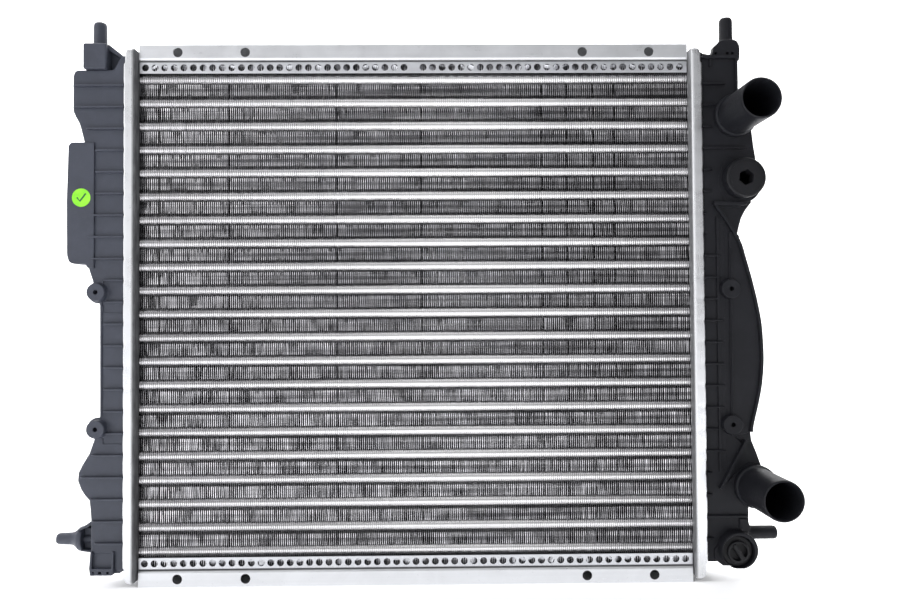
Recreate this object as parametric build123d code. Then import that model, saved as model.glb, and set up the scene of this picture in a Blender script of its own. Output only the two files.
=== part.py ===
from build123d import *
import os
import math

os.makedirs("parts", exist_ok=True)

# Aluminium radiator with expanded round tubes, plate fins, crimped header plates
# and two moulded side tanks. Millimetres. X across the core, Y through its depth
# (the hose necks point towards -Y), Z up.
# Built about the centre of the core, then moved so that the origin is at the
# middle of the bottom of the whole radiator.

# ---- core
FIN_W = 430.0          # width of the fin pack between the header plates
FIN_H = 392.0          # height of the fin pack, 376 of it seen between the end strips
FIN_D = 23.0           # depth of the core
FIN_PITCH = 10.0       # pitch of the plates that stand for the real 1.5 mm fins
FIN_T = 0.55           # thickness that keeps the fins' true aluminium volume
COLLAR_R = 4.2         # outer radius of the collars that space the fins
TUBE_OD = 8.0
TUBE_WALL = 0.4
TUBE_PITCH = 18.4
N_FRONT = 21
N_REAR = 20
ROW_FRONT_Y = 6.0
ROW_REAR_Y = 17.0
TUBE_HALF = 220.6      # half length of a tube, ending just inside the tanks
TUBE_GAP = 0.03        # radial gap where a tube passes a fin, header or gasket

# ---- end strips and side plates
STRIP_T = 1.0
STRIP_HALF = 214.0
STRIP_TOP = 197.0
STRIP_IN = 187.6
STRIP_HOLE_D = 5.4
STRIP_HOLE_PITCH = 7.46
STRIP_HOLE_X0 = -209.4
STRIP_HOLES = 57
STRIP_HOLE_Z = 192.0
PLATE_T = 1.2
PLATE_OUT = 209.7
PLATE_REAR_TOP = 217.0  # rear flange of the top plate, taller than its front one
RAIL_HOLE_D = 7.5
RAIL_OUTER_X = 184.0
RAIL_INNER_X = 131.7
RAIL_HOLE_Z = 203.8

# ---- header plates
HDR_IN = 215.0         # face against the fin pack
HDR_OUT = 223.5        # crimped edge
HDR_T = 1.5
HDR_Y0 = -8.0
HDR_Y1 = 31.0
HDR_Z = 205.0
LIP_IN = 1.6           # how far the crimped lip reaches over the tank foot
GASKET_T = 1.6

# ---- tanks
WALL = 3.0
TANK_Y0 = -4.8
TANK_Y1 = 27.8
RIB_Y0 = -7.5
RIB_Y1 = 30.5
RIB_T = 1.6
RIB_Z0 = 177.0
RIB_PITCH = 16.76
PIN_Y = 11.5
PIN_R = 5.2
PIN_TOP_R_Z = 234.9
PIN_TOP_L_Z = 232.0
PIN_TOP_X = 249.5
PIN_LOW_Z = -175.4
PIN_LOW_R_X = 284.3
PIN_LOW_L_X = -282.1
PIN_LOW_L_R = 4.65
PIN_COLLAR_R = 6.8
SHROUD_X = 243.5
SHROUD_Z_UP = 17.0
SHROUD_Z_LOW = -87.5
SHROUD_R = 7.4
SHROUD_HOLE_R = 1.8
SHROUD_Y0 = -11.0
SHROUD_DEPTH = 14.0

# ---- hose necks
NECK_R = 15.0
NECK_BORE = 13.0
NECK_MOUTH_Y = -57.5
NECK_CHAMFER = 0.8
NECK_UP = (250.0, 152.0)
NECK_LOW = (262.0, -135.6)

# ---- blanking plug, M22 x 1.5, with a 10 mm hex socket
PORT = (253.9, 102.0)
PORT_Y0 = -13.0
PORT_R = 16.6
PORT_BORE = 11.0
PLUG_HEAD_R = 15.3
PLUG_HEAD_T = 4.0
PLUG_STEM_R = 10.95
PLUG_STEM_L = 12.0
PLUG_HEX = 10.0

# ---- drain plug, M14 x 2, with a finger grip
DRAIN = (244.8, -183.3)
DRAIN_Y0 = -16.0
DRAIN_R = 13.6
DRAIN_CUP_R = 12.0
DRAIN_CUP_Y = -10.0
DRAIN_BORE = 7.0
DRAIN_HEAD_R = 11.5
DRAIN_STEM_R = 6.93

# ---- flow divider in the right tank
DIV_Z = 4.6
DIV_T = 2.4


# ---------------------------------------------------------------- helpers
def plane_xz(y):
    return Plane(origin=(0, y, 0), x_dir=(1, 0, 0), z_dir=(0, -1, 0))


def plane_yz(x):
    return Plane(origin=(x, 0, 0), x_dir=(0, 1, 0), z_dir=(1, 0, 0))


def prism_xz(pts, y0, y1):
    face = make_face(Polyline(*pts, close=True))
    return extrude(plane_xz(y1) * face, amount=y1 - y0)


def prism_yz(pts, x0, x1):
    face = make_face(Polyline(*pts, close=True))
    return extrude(plane_yz(x0) * face, amount=x1 - x0)


def prism_xy(pts, z0, z1):
    face = make_face(Polyline(*pts, close=True))
    return extrude(Plane.XY.offset(z0) * face, amount=z1 - z0)


def block(x0, x1, y0, y1, z0, z1):
    return Pos((x0 + x1) / 2, (y0 + y1) / 2, (z0 + z1) / 2) * Box(
        abs(x1 - x0), abs(y1 - y0), abs(z1 - z0))


def rod_y(x, z, r, y0, y1):
    return extrude(plane_xz(y1) * (Pos(x, z) * Circle(r)), amount=y1 - y0)


def rod_x(y, z, r, x0, x1):
    return extrude(plane_yz(x0) * (Pos(y, z) * Circle(r)), amount=x1 - x0)


def rod_z(x, y, r, z0, z1):
    return extrude(Plane.XY.offset(z0) * (Pos(x, y) * Circle(r)), amount=z1 - z0)


def ring_y(x, z, ro, ri, y0, y1):
    return extrude(plane_xz(y1) * (Pos(x, z) * (Circle(ro) - Circle(ri))), amount=y1 - y0)


def mirror_x(pts):
    return [(-x, z) for x, z in pts]


def round_y_edges(shape, radius, keep=lambda e: True):
    edges = [e for e in shape.edges().filter_by(Axis.Y) if keep(e)]
    return fillet(edges, radius) if edges else shape


# ---------------------------------------------------------------- tube positions
front_z = [TUBE_PITCH * ((N_FRONT - 1) / 2 - k) for k in range(N_FRONT)]
rear_z = [TUBE_PITCH * ((N_REAR - 1) / 2 - k) for k in range(N_REAR)]
tubes_yz = [(ROW_FRONT_Y, z) for z in front_z] + [(ROW_REAR_Y, z) for z in rear_z]


def tube_row(y, zs):
    one = extrude(plane_yz(-TUBE_HALF) * (Circle(TUBE_OD / 2) - Circle(TUBE_OD / 2 - TUBE_WALL)),
                  amount=2 * TUBE_HALF)
    return [Pos(0, y, z) * one for z in zs]


def strip_row(y, zs):
    w = 2 * (TUBE_OD / 2 - TUBE_WALL) - 0.6
    return [block(-213, 213, y - 0.3, y + 0.3, z - w / 2, z + w / 2) for z in zs]


# ---------------------------------------------------------------- fin pack
def fin_pack():
    face = Pos(FIN_D / 2, 0) * Rectangle(FIN_D, FIN_H)
    for y, z in tubes_yz:
        face -= Pos(y, z) * Circle(TUBE_OD / 2 + TUBE_GAP)
    pack = extrude(plane_yz(-FIN_W / 2) * face, amount=FIN_W)
    n = int(round(FIN_W / FIN_PITCH))
    gap = Pos(FIN_D / 2, 0) * Rectangle(FIN_D + 4, FIN_H + 4)
    for y, z in tubes_yz:
        gap -= Pos(y, z) * Circle(COLLAR_R)
    pitch = (FIN_W - FIN_T) / n
    tools = [extrude(plane_yz(-FIN_W / 2 + FIN_T + k * pitch) * gap, amount=pitch - FIN_T)
             for k in range(n)]
    return pack - tools


# ---------------------------------------------------------------- end strips, side plates
def end_strip(sign, skip):
    z1, z0 = STRIP_TOP, STRIP_IN
    profile = [(-1, z0), (0, z0), (0, z1 - STRIP_T), (FIN_D, z1 - STRIP_T), (FIN_D, z0),
               (FIN_D + 1, z0), (FIN_D + 1, z1), (-1, z1)]
    body = prism_yz([(y, sign * z) for y, z in profile], -STRIP_HALF, STRIP_HALF)
    face = Sketch() + [Pos(STRIP_HOLE_X0 + k * STRIP_HOLE_PITCH, sign * STRIP_HOLE_Z)
                       * Circle(STRIP_HOLE_D / 2)
                       for k in range(STRIP_HOLES) if k not in skip]
    return body - extrude(plane_xz(FIN_D + 3) * face, amount=FIN_D + 6)


def side_plate(sign, z2):
    y0, y1 = -2.0, 25.0
    z0, z1 = STRIP_TOP, PLATE_OUT
    profile = [(y0, z0), (y1, z0), (y1, z2), (y1 - PLATE_T, z2), (y1 - PLATE_T, z0 + PLATE_T),
               (y0 + PLATE_T, z0 + PLATE_T), (y0 + PLATE_T, z1), (y0, z1)]
    body = prism_yz([(y, sign * z) for y, z in profile], -STRIP_HALF, STRIP_HALF)
    # plain tongues on the web reach the header plates
    body += block(-HDR_IN, HDR_IN, y0 + 3, y1 - 3, sign * z0, sign * (z0 + PLATE_T))
    for x in (-RAIL_OUTER_X, -RAIL_INNER_X, RAIL_INNER_X, RAIL_OUTER_X):
        body -= rod_y(x, sign * RAIL_HOLE_Z, RAIL_HOLE_D / 2, y0 - 1, y0 + PLATE_T + 1)
    return body


# ---------------------------------------------------------------- header plates, gaskets
def rounded_yz(y0, y1, z, r, x0, x1):
    face = RectangleRounded(y1 - y0, 2 * z, r)
    return extrude(plane_yz(min(x0, x1)) * (Pos((y0 + y1) / 2, 0) * face), amount=abs(x1 - x0))


def tube_bores(x0, x1):
    face = Sketch() + [Pos(y, z) * Circle(TUBE_OD / 2 + TUBE_GAP) for y, z in tubes_yz]
    return extrude(plane_yz(min(x0, x1)) * face, amount=abs(x1 - x0))


def header_plate(s):
    t = HDR_T
    body = rounded_yz(HDR_Y0, HDR_Y1, HDR_Z, 8.0, s * HDR_IN, s * HDR_OUT)
    body -= rounded_yz(HDR_Y0 + t, HDR_Y1 - t, HDR_Z - t, 6.5, s * (HDR_IN + t), s * (HDR_OUT - t))
    body -= rounded_yz(HDR_Y0 + t + LIP_IN, HDR_Y1 - t - LIP_IN, HDR_Z - t - LIP_IN, 1.5,
                       s * (HDR_OUT - t - 0.5), s * (HDR_OUT + 1))
    return body - tube_bores(s * (HDR_IN - 1), s * (HDR_IN + t + 1))


def header_gasket(s):
    x0 = HDR_IN + HDR_T
    body = rounded_yz(HDR_Y0 + HDR_T + 0.1, HDR_Y1 - HDR_T - 0.1, HDR_Z - HDR_T - 0.1, 6.4,
                      s * x0, s * (x0 + GASKET_T))
    return body - tube_bores(s * (x0 - 1), s * (x0 + GASKET_T + 1))


FOOT_X0 = HDR_IN + HDR_T + GASKET_T        # 218.1
FOOT_X1 = HDR_OUT - HDR_T                  # 222.0


def tank_foot(s):
    return rounded_yz(HDR_Y0 + HDR_T + 0.1, HDR_Y1 - HDR_T - 0.1, HDR_Z - HDR_T - 0.1, 6.4,
                      s * FOOT_X0, s * FOOT_X1)


def rib(s, x1, z):
    return block(s * (HDR_OUT + 0.3), s * x1, RIB_Y0, RIB_Y1, z - RIB_T / 2, z + RIB_T / 2)


def rib_z(k):
    return RIB_Z0 - RIB_PITCH * k


# ---------------------------------------------------------------- right tank
duct_r = [(FOOT_X0, -193.5), (246.0, -193.5), (256.8, -176.0), (256.8, -153.2), (259.0, -138.0),
          (262.5, -122.0), (259.5, -108.0), (248.0, -98.0), (246.0, -90.0), (246.0, 62.0),
          (250.0, 78.0), (262.0, 88.0), (266.0, 112.0), (266.0, 120.0), (264.6, 128.5), (263.2, 141.0),
          (252.6, 175.5), (253.3, 198.0), (FOOT_X0, 199.0)]
cavity_r = [(FOOT_X0 - 3, -190.5), (244.5, -190.5), (253.6, -174.8), (253.8, -153.2), (256.0, -138.0),
            (259.3, -122.0), (256.9, -109.4), (245.6, -100.0), (243.0, -91.0), (243.0, 62.6),
            (247.4, 80.0), (259.4, 90.0), (263.0, 112.5), (263.0, 120.0), (261.6, 128.0),
            (260.3, 140.4), (249.6, 175.0), (250.2, 195.0), (FOOT_X0 - 3, 196.0)]
wing_out = [(251.5, 59.1), (253.5, 50.3), (255.9, 41.4), (259.9, 26.9), (262.7, 15.3), (264.8, 5.9),
            (267.6, -10.8), (268.7, -29.5), (268.6, -41.9), (267.1, -57.4), (264.2, -72.0),
            (260.9, -85.4), (259.6, -93.5)]

rib_ends_r = {0: 243.0, 1: 235.5, 2: 232.5, 3: 258.5, 4: 232.0, 5: 232.0, 6: 227.0, 7: 227.0,
              8: 238.5, 9: 238.5, 10: 236.0, 11: 240.0, 12: 240.0, 13: 240.0, 14: 240.0, 15: 240.0,
              16: 236.0, 17: 240.0, 18: 229.0, 19: 229.0, 20: 256.6, 21: 230.0}


def right_tank():
    body = tank_foot(1)
    body += prism_xz(duct_r, TANK_Y0, TANK_Y1)
    # smooth wing that bounds the fan opening: a plate with a rim round its edge
    wing = [(245.0, 62.0)] + wing_out + [(245.0, -98.0)]
    wing_in = [(245.0, 60.0)] + [(x - 3.2, z) for x, z in wing_out] + [(245.0, -95.0)]
    body += prism_xz(wing, TANK_Y0 - 1.2, 14.0) - prism_xz(wing_in, TANK_Y0 + 2.0, 15.0)
    # shoulder between the wing and the plug port, and between the wing and the lower neck
    body += prism_xz([(246, 50), (253.2, 50.3), (251.5, 59.1), (253.1, 65.9), (254.9, 72.4), (257.8, 77.9),
                      (263.0, 84.8), (262, 90), (246, 90)], TANK_Y0 + 2.4, TANK_Y1 - 4)
    body += prism_xz([(246, -86), (260.4, -86.0), (259.6, -93.5), (260.5, -100.9), (264.2, -110.2),
                      (268.4, -122.1), (262, -128), (246, -128)], TANK_Y0 + 2.4, TANK_Y1 - 4)
    # ribs that wrap the duct
    for k, x1 in rib_ends_r.items():
        body += rib(1, x1, rib_z(k))
    # upright ribs beside the wing
    body += block(234.4, 236.0, -6.6, TANK_Y0, -122.0, 70.0)
    body += block(239.4, 240.6, -7.2, TANK_Y0, -100.0, 52.0)
    body += block(244.2, 245.4, -7.2, TANK_Y0, -88.0, 46.0)
    # diagonal ribs
    body += prism_xz([(231.6, 83.6), (233.6, 85.4), (252.8, 57.0), (251.0, 55.6), (240.5, 68.5)],
                     -9.0, TANK_Y0 + 1)
    body += prism_xz([(232.0, 81.0), (232.0, 83.6), (258.0, 83.6), (256.6, 81.0)], -9.0, TANK_Y0 + 4)
    body += prism_xz([(233.8, -136.4), (235.6, -138.2), (256.0, -101.0), (253.2, -99.6)],
                     -9.0, TANK_Y0 + 4)
    # top: shelf, pedestal and upper pin
    body += block(224.6, 253.6, RIB_Y0, RIB_Y1, 196.8, 199.2)
    body += prism_xz([(233.1, 199), (233.2, 202.0), (234.2, 206.6), (237.1, 209.3), (240.0, 211.4),
                      (244.0, 212.2), (250.6, 212.2), (253.0, 210.8), (254.3, 207.9), (254.8, 204.5),
                      (254.2, 199)], -4.0, 26.0)
    body += prism_xz([(FOOT_X1 + 2.2, 199), (FOOT_X1 + 2.2, 203.4), (226.2, 202.2), (230.4, 201.3),
                      (234.0, 201.3), (234.0, 199)], 4.0, 19.0)
    # collar and pin with a rounded tip
    body += rod_z(PIN_TOP_X, PIN_Y, PIN_COLLAR_R, 206.0, 216.2)
    pin = rod_z(PIN_TOP_X, PIN_Y, PIN_R, 211.0, PIN_TOP_R_Z)
    pin = fillet(pin.edges().sort_by(Axis.Z)[-1:], 2.2)
    body += pin
    # lower locating pin with its collar, flange and webs
    body += rod_x(PIN_Y, PIN_LOW_Z, PIN_COLLAR_R, 252.0, 263.6)
    pin = rod_x(PIN_Y, PIN_LOW_Z, PIN_R, 254.0, PIN_LOW_R_X)
    pin = fillet(pin.edges().sort_by(Axis.X)[-1:], 2.2)
    body += pin
    body += prism_xz([(250.0, -158.0), (254.4, -159.2), (262.4, -181.0), (258.6, -184.0),
                      (250.0, -184.0)], 3.0, 20.0)
    # plug port
    body += rod_y(*PORT, PORT_R, PORT_Y0, 22.0)
    body += prism_xz([(244.0, 84.5), (253.9, 84.5), (253.9, 119.5), (240.0, 119.5), (238.0, 110.0),
                      (238.0, 95.0)], -8.0, TANK_Y0 + 1)
    # hose necks: base and tube, with the mouth's edge broken
    for (x, z) in (NECK_UP, NECK_LOW):
        base = rod_y(x, z, NECK_R + 1.4, TANK_Y0 - 5.0, 25.0)
        body += base
        neck = rod_y(x, z, NECK_R, NECK_MOUTH_Y, 0.0)
        body += chamfer(neck.edges().filter_by(GeomType.CIRCLE).sort_by(Axis.Y)[:1], NECK_CHAMFER)
    # shroud bosses
    for z in (SHROUD_Z_UP, SHROUD_Z_LOW):
        body += rod_y(SHROUD_X, z, SHROUD_R, SHROUD_Y0, TANK_Y0 + 2.5)
        body += rod_y(SHROUD_X + 5.0, z, 5.2, TANK_Y0, 16.0)
    # drain boss with its cup
    body += rod_y(*DRAIN, DRAIN_R, DRAIN_Y0, 24.0)
    body += prism_xz([(229.0, -184.0), (229.4, -191.0), (232.0, -193.0), (236.0, -196.4),
                      (247.0, -196.4), (254.4, -190.0), (259.4, -181.0), (256.0, -172.0), (246.0, -170.0)],
                     -8.0, 22.0)
    # water space
    body -= prism_xz(cavity_r, TANK_Y0 + WALL, TANK_Y1 - WALL)
    body -= rod_y(*NECK_UP, NECK_BORE, NECK_MOUTH_Y - 1, 22.0)
    body -= rod_y(*NECK_LOW, NECK_BORE, NECK_MOUTH_Y - 1, 22.0)
    body -= rod_y(*PORT, PORT_BORE, PORT_Y0 - 1, 18.0)
    body -= rod_y(*PORT, 13.6, PORT_Y0 - 1, PORT_Y0 + 2.0)
    body -= rod_y(*DRAIN, DRAIN_BORE, DRAIN_Y0 - 1, 20.0)
    body -= rod_y(*DRAIN, DRAIN_CUP_R, DRAIN_Y0 - 1, DRAIN_CUP_Y)
    for z in (SHROUD_Z_UP, SHROUD_Z_LOW):
        # a column behind each boss keeps its blind hole out of the water space
        body += rod_y(SHROUD_X, z, SHROUD_R - 1.0, TANK_Y0 + 0.5, 16.0)
        body -= rod_y(SHROUD_X, z, SHROUD_HOLE_R, SHROUD_Y0 - 1, SHROUD_Y0 + SHROUD_DEPTH)
    return body


# ---------------------------------------------------------------- left tank
duct_l = [(-FOOT_X0, -196.0), (-231.0, -196.0), (-231.0, -183.0), (-248.8, -183.0), (-248.9, -157.8),
          (-249.5, -149.4), (-250.3, -142.4), (-253.3, -139.1), (-256.6, -134.2), (-259.2, -127.3),
          (-258.6, -120.9), (-255.7, -115.1), (-250.4, -106.4), (-247.1, -96.9), (-242.5, -77.8),
          (-242.8, 7.3), (-248.6, 26.6), (-251.5, 35.6), (-255.0, 40.0), (-255.0, 133.0),
          (-257.8, 144.2), (-259.1, 148.2), (-262.1, 153.5), (-263.7, 157.4), (-263.8, 184.6),
          (-262.8, 187.8), (-260.7, 189.3), (-FOOT_X0, 191.0)]
cavity_l = [(-FOOT_X0 + 3, -193.0), (-228.0, -193.0), (-228.0, -180.0), (-245.8, -180.0), (-245.9, -157.8), (-246.5, -149.4),
            (-247.6, -140.6), (-251.0, -137.0), (-253.9, -133.0), (-256.1, -127.3), (-255.6, -121.8),
            (-252.9, -116.4), (-247.6, -107.8), (-244.2, -98.0), (-239.5, -78.2), (-239.8, 7.8),
            (-245.6, 27.4), (-248.7, 36.6), (-249.0, 41.0), (-249.0, 133.8), (-254.9, 145.2),
            (-256.4, 149.2), (-259.4, 154.8), (-260.7, 158.0), (-260.8, 184.0), (-260.2, 186.2),
            (-234.4, 186.6), (-228.6, 196.4), (-FOOT_X0 + 3, 196.4)]
pocket = [(-247.0, 132.8), (-264.3, 132.8), (-266.4, 130.3), (-267.6, 88.2), (-267.3, 45.1),
          (-265.5, 40.1), (-261.6, 38.9), (-252.9, 38.9), (-251.6, 35.8), (-247.0, 35.8)]
pocket_in = [(-258.0, 129.8), (-263.6, 129.8), (-264.6, 88.2), (-264.4, 45.1), (-263.0, 41.9),
             (-258.0, 41.9)]
rib_ends_l = {0: 263.8, 1: 263.7, 2: 254.0, 3: 247.4, 4: 247.4, 5: 247.4, 6: 249.3, 7: 254.0,
              8: 251.0, 9: 240.6, 10: 240.6, 11: 240.6, 12: 240.6, 13: 240.6, 14: 240.6, 15: 240.6,
              16: 240.6, 17: 249.0, 18: 257.4, 19: 250.4, 20: 248.5, 21: 246.6}


def left_tank():
    body = tank_foot(-1)
    body += prism_xz(duct_l, TANK_Y0, TANK_Y1)
    # side pocket with a smooth face, open behind
    body += prism_xz(pocket, -6.4, 16.0) - prism_xz(pocket_in, -3.4, 17.0)
    for k, x1 in rib_ends_l.items():
        body += rib(-1, x1, rib_z(k))
    # step line beside the straight run between the bosses
    body += block(-241.6, -240.4, -5.6, TANK_Y0 + 1, -78.0, 8.0)
    # top block, gusset and upper pin
    body += prism_xz([(-254.9, 189.4), (-254.9, 208.0), (-253.6, 209.5), (-237.1, 209.5),
                      (-237.1, 189.4)], -8.0, 22.0)
    body += prism_xz([(-238.0, 190.0), (-238.0, 209.5), (-236.4, 209.5), (-226.6, 201.5),
                      (-225.0, 200.4), (-225.0, 190.0)], 4.0, 8.0)
    body += prism_xz([(-238.0, 206.8), (-238.0, 209.5), (-236.4, 209.5), (-225.4, 200.4),
                      (-225.4, 196.0), (-227.4, 198.6)], -3.0, 18.0)
    body += rod_z(-PIN_TOP_X, PIN_Y, 6.4, 203.0, 211.0)
    pin = rod_z(-PIN_TOP_X, PIN_Y, PIN_R, 205.0, PIN_TOP_L_Z)
    pin = fillet(pin.edges().sort_by(Axis.Z)[-1:], 2.2)
    body += pin
    # lower locating pin: flared root, disc and webs
    pin = rod_x(PIN_Y, PIN_LOW_Z, PIN_LOW_L_R, PIN_LOW_L_X, -262.0)
    pin = fillet(pin.edges().sort_by(Axis.X)[:1], 2.0)
    body += pin
    cone = Pos(-265.2, PIN_Y, PIN_LOW_Z) * (Rot(0, 90, 0) * Cone(PIN_LOW_L_R, 9.3, 4.0))
    body += cone
    body += rod_x(PIN_Y, PIN_LOW_Z, 9.3, -263.3, -259.8)
    body += block(-260.5, -248.0, PIN_Y - 2.0, PIN_Y + 2.0, PIN_LOW_Z - 8.6, PIN_LOW_Z + 8.6)
    body += block(-260.5, -244.0, 3.0, 20.0, PIN_LOW_Z - 1.6, PIN_LOW_Z + 1.6)
    # foot bracket under the tank
    body += block(-249.8, -246.6, -7.0, 26.0, -199.8, -182.0)
    body += block(-235.0, -231.0, -7.0, 26.0, -199.8, -182.0)
    body += block(-249.8, -231.0, -7.0, 26.0, -199.8, -194.6)
    body += block(-232.0, -225.0, -2.0, 24.0, -198.0, -194.0)
    # shroud bosses
    for z in (SHROUD_Z_UP, SHROUD_Z_LOW):
        body += rod_y(-SHROUD_X, z, SHROUD_R - 0.5, SHROUD_Y0, 16.0)
    body -= prism_xz(cavity_l, TANK_Y0 + WALL, TANK_Y1 - WALL)
    for z in (SHROUD_Z_UP, SHROUD_Z_LOW):
        # a column behind each boss keeps its blind hole out of the water space
        body += rod_y(-SHROUD_X, z, SHROUD_R - 0.5, TANK_Y0, 16.0)
        body -= rod_y(-SHROUD_X, z, SHROUD_HOLE_R, SHROUD_Y0 - 1, SHROUD_Y0 + SHROUD_DEPTH)
    return body


# ---------------------------------------------------------------- plugs, seals, divider
def blanking_plug():
    x, z = PORT
    head = rod_y(x, z, PLUG_HEAD_R, PORT_Y0 - 0.05 - PLUG_HEAD_T, PORT_Y0 - 0.05)
    head = chamfer(head.edges().sort_by(Axis.Y)[:1], 0.8)
    stem = rod_y(x, z, PLUG_STEM_R, PORT_Y0 - 0.5, PORT_Y0 + PLUG_STEM_L)
    stem = chamfer(stem.edges().sort_by(Axis.Y)[-1:], 1.0)
    plug = head + stem
    hexagon = RegularPolygon(PLUG_HEX / 2, 6, major_radius=False)
    y0 = PORT_Y0 - PLUG_HEAD_T - 1
    socket = extrude(plane_xz(y0 + 8.0) * (Pos(x, z) * Rot(0, 0, 30) * hexagon), amount=8.0)
    plug -= socket
    plug -= rod_y(x, z, 7.6, PORT_Y0 + 2.0, PORT_Y0 + PLUG_STEM_L + 1)
    return plug


def o_ring(x, z, y, major, minor):
    return Pos(x, y, z) * (Rot(90, 0, 0) * Torus(major, minor))


def drain_plug():
    x, z = DRAIN
    y1 = DRAIN_CUP_Y - 0.1
    head = rod_y(x, z, DRAIN_HEAD_R, DRAIN_Y0 + 0.6, y1)
    head = chamfer(head.edges().sort_by(Axis.Y)[:1], 0.6)
    # two crescent recesses leave a finger bar across the head
    ring = rod_y(x, z, DRAIN_HEAD_R - 1.6, DRAIN_Y0 - 1, DRAIN_Y0 + 4.6)
    bar = Pos(x, 0, z) * (Rot(0, 45, 0) * Box(4.0, 60, 30))
    head -= ring - bar
    grip = rod_y(x, z, DRAIN_HEAD_R - 1.9, DRAIN_Y0 - 1.6, DRAIN_Y0 + 3.0) & (
        Pos(x, 0, z) * (Rot(0, 45, 0) * Box(3.4, 60, 30)))
    stem = rod_y(x, z, DRAIN_STEM_R, DRAIN_CUP_Y - 2, 1.0)
    stem = chamfer(stem.edges().sort_by(Axis.Y)[-1:], 1.0)
    stem -= ring_y(x, z, 8.0, 5.5, -8.6, -7.0)
    return head + grip + stem


def divider_plate():
    return block(221.4, 241.2, 0.2, 22.8, DIV_Z - DIV_T / 2, DIV_Z + DIV_T / 2)


def divider_seal():
    outer = block(FOOT_X0, 243.0, TANK_Y0 + WALL, TANK_Y1 - WALL, DIV_Z - 0.45, DIV_Z + 0.45)
    wide = block(221.4, 243.0, TANK_Y0 + WALL, TANK_Y1 - WALL, DIV_Z - 1.9, DIV_Z + 1.9)
    hole = block(221.4, 241.2, 0.2, 22.8, DIV_Z - 5, DIV_Z + 5)
    return (outer + wide) - hole


# ---------------------------------------------------------------- assembly
nodes = {
    "left_tank": left_tank(),
    "right_tank": right_tank(),
    "left_header_plate": header_plate(-1),
    "right_header_plate": header_plate(1),
    "left_header_gasket": header_gasket(-1),
    "right_header_gasket": header_gasket(1),
    "top_side_plate": side_plate(1, PLATE_REAR_TOP),
    "bottom_side_plate": side_plate(-1, PLATE_OUT),
    "top_end_strip": end_strip(1, skip=(28,)),
    "bottom_end_strip": end_strip(-1, skip=()),
    "front_tube_row": tube_row(ROW_FRONT_Y, front_z),
    "rear_tube_row": tube_row(ROW_REAR_Y, rear_z),
    "front_turbulators": strip_row(ROW_FRONT_Y, front_z),
    "rear_turbulators": strip_row(ROW_REAR_Y, rear_z),
    "fin_pack": fin_pack(),
    "flow_divider": divider_plate(),
    "divider_seal": divider_seal(),
    "blanking_plug": blanking_plug(),
    "blanking_plug_oring": o_ring(PORT[0], PORT[1], PORT_Y0 + 1.0, 12.3, 0.85),
    "drain_plug": drain_plug(),
    "drain_plug_oring": o_ring(DRAIN[0], DRAIN[1], -7.8, 6.3, 0.6),
    "inspection_sticker": rod_y(-256.4, 90.0, 7.1, -6.55, -6.4),
}


def solids_of(shape):
    if isinstance(shape, (list, tuple)):
        out = []
        for s in shape:
            out += solids_of(s)
        return out
    return list(shape.solids())


parts = {name: solids_of(shape) for name, shape in nodes.items()}
boxes = [s.bounding_box() for group in parts.values() for s in group]
X0, X1 = min(b.min.X for b in boxes), max(b.max.X for b in boxes)
Y0, Y1 = min(b.min.Y for b in boxes), max(b.max.Y for b in boxes)
Z0 = min(b.min.Z for b in boxes)
OFFSET = (-(X0 + X1) / 2, -(Y0 + Y1) / 2, -Z0)

for name, group in parts.items():
    moved = [Pos(*OFFSET) * s for s in group]
    shape = moved[0] if len(moved) == 1 else Compound(children=moved)
    shape.label = name
    export_step(shape, f"parts/{name}.step")

print("offset from the core frame:", [round(v, 3) for v in OFFSET])
print("size:", round(X1 - X0, 2), round(Y1 - Y0, 2), round(max(b.max.Z for b in boxes) - Z0, 2))
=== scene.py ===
import math
import random

import bmesh
import bpy
from mathutils import Matrix, Vector


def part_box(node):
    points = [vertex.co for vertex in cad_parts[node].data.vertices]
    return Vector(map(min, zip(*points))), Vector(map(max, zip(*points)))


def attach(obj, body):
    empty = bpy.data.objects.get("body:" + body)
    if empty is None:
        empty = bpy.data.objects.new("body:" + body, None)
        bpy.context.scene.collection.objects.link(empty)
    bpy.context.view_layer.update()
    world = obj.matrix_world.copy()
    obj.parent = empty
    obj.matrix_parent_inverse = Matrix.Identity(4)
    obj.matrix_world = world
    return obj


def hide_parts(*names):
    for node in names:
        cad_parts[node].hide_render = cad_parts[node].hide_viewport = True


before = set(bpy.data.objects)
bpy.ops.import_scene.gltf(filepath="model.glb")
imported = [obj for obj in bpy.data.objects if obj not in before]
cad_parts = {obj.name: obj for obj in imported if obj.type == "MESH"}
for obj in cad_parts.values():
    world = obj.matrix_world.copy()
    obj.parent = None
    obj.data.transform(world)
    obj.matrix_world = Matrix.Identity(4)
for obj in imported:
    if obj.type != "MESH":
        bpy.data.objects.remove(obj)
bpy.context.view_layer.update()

random.seed(418)
scene = bpy.context.scene

# ------------------------------------------------------------------ frame
# The core frame is in millimetres: X across the core, Y into the scene from the fins'
# front edges, Z up, centred on the core.  W() takes it to the row frame in metres.
_lo, _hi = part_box("fin_pack")
OX, OY, OZ = _lo.x * 1000 + 215.0, _lo.y * 1000, _lo.z * 1000 + 196.0
TO_ROW = Matrix.Scale(0.001, 4) @ Matrix.Translation((OX, OY, OZ))


def W(x, y, z):
    return TO_ROW @ Vector((x, y, z))


# ------------------------------------------------------------------ camera
CAM_R = (math.radians(-1.217), math.radians(-0.689), math.radians(-0.332))
CAM_T = Vector((-26.86, 9.88, 619.85))


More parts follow.
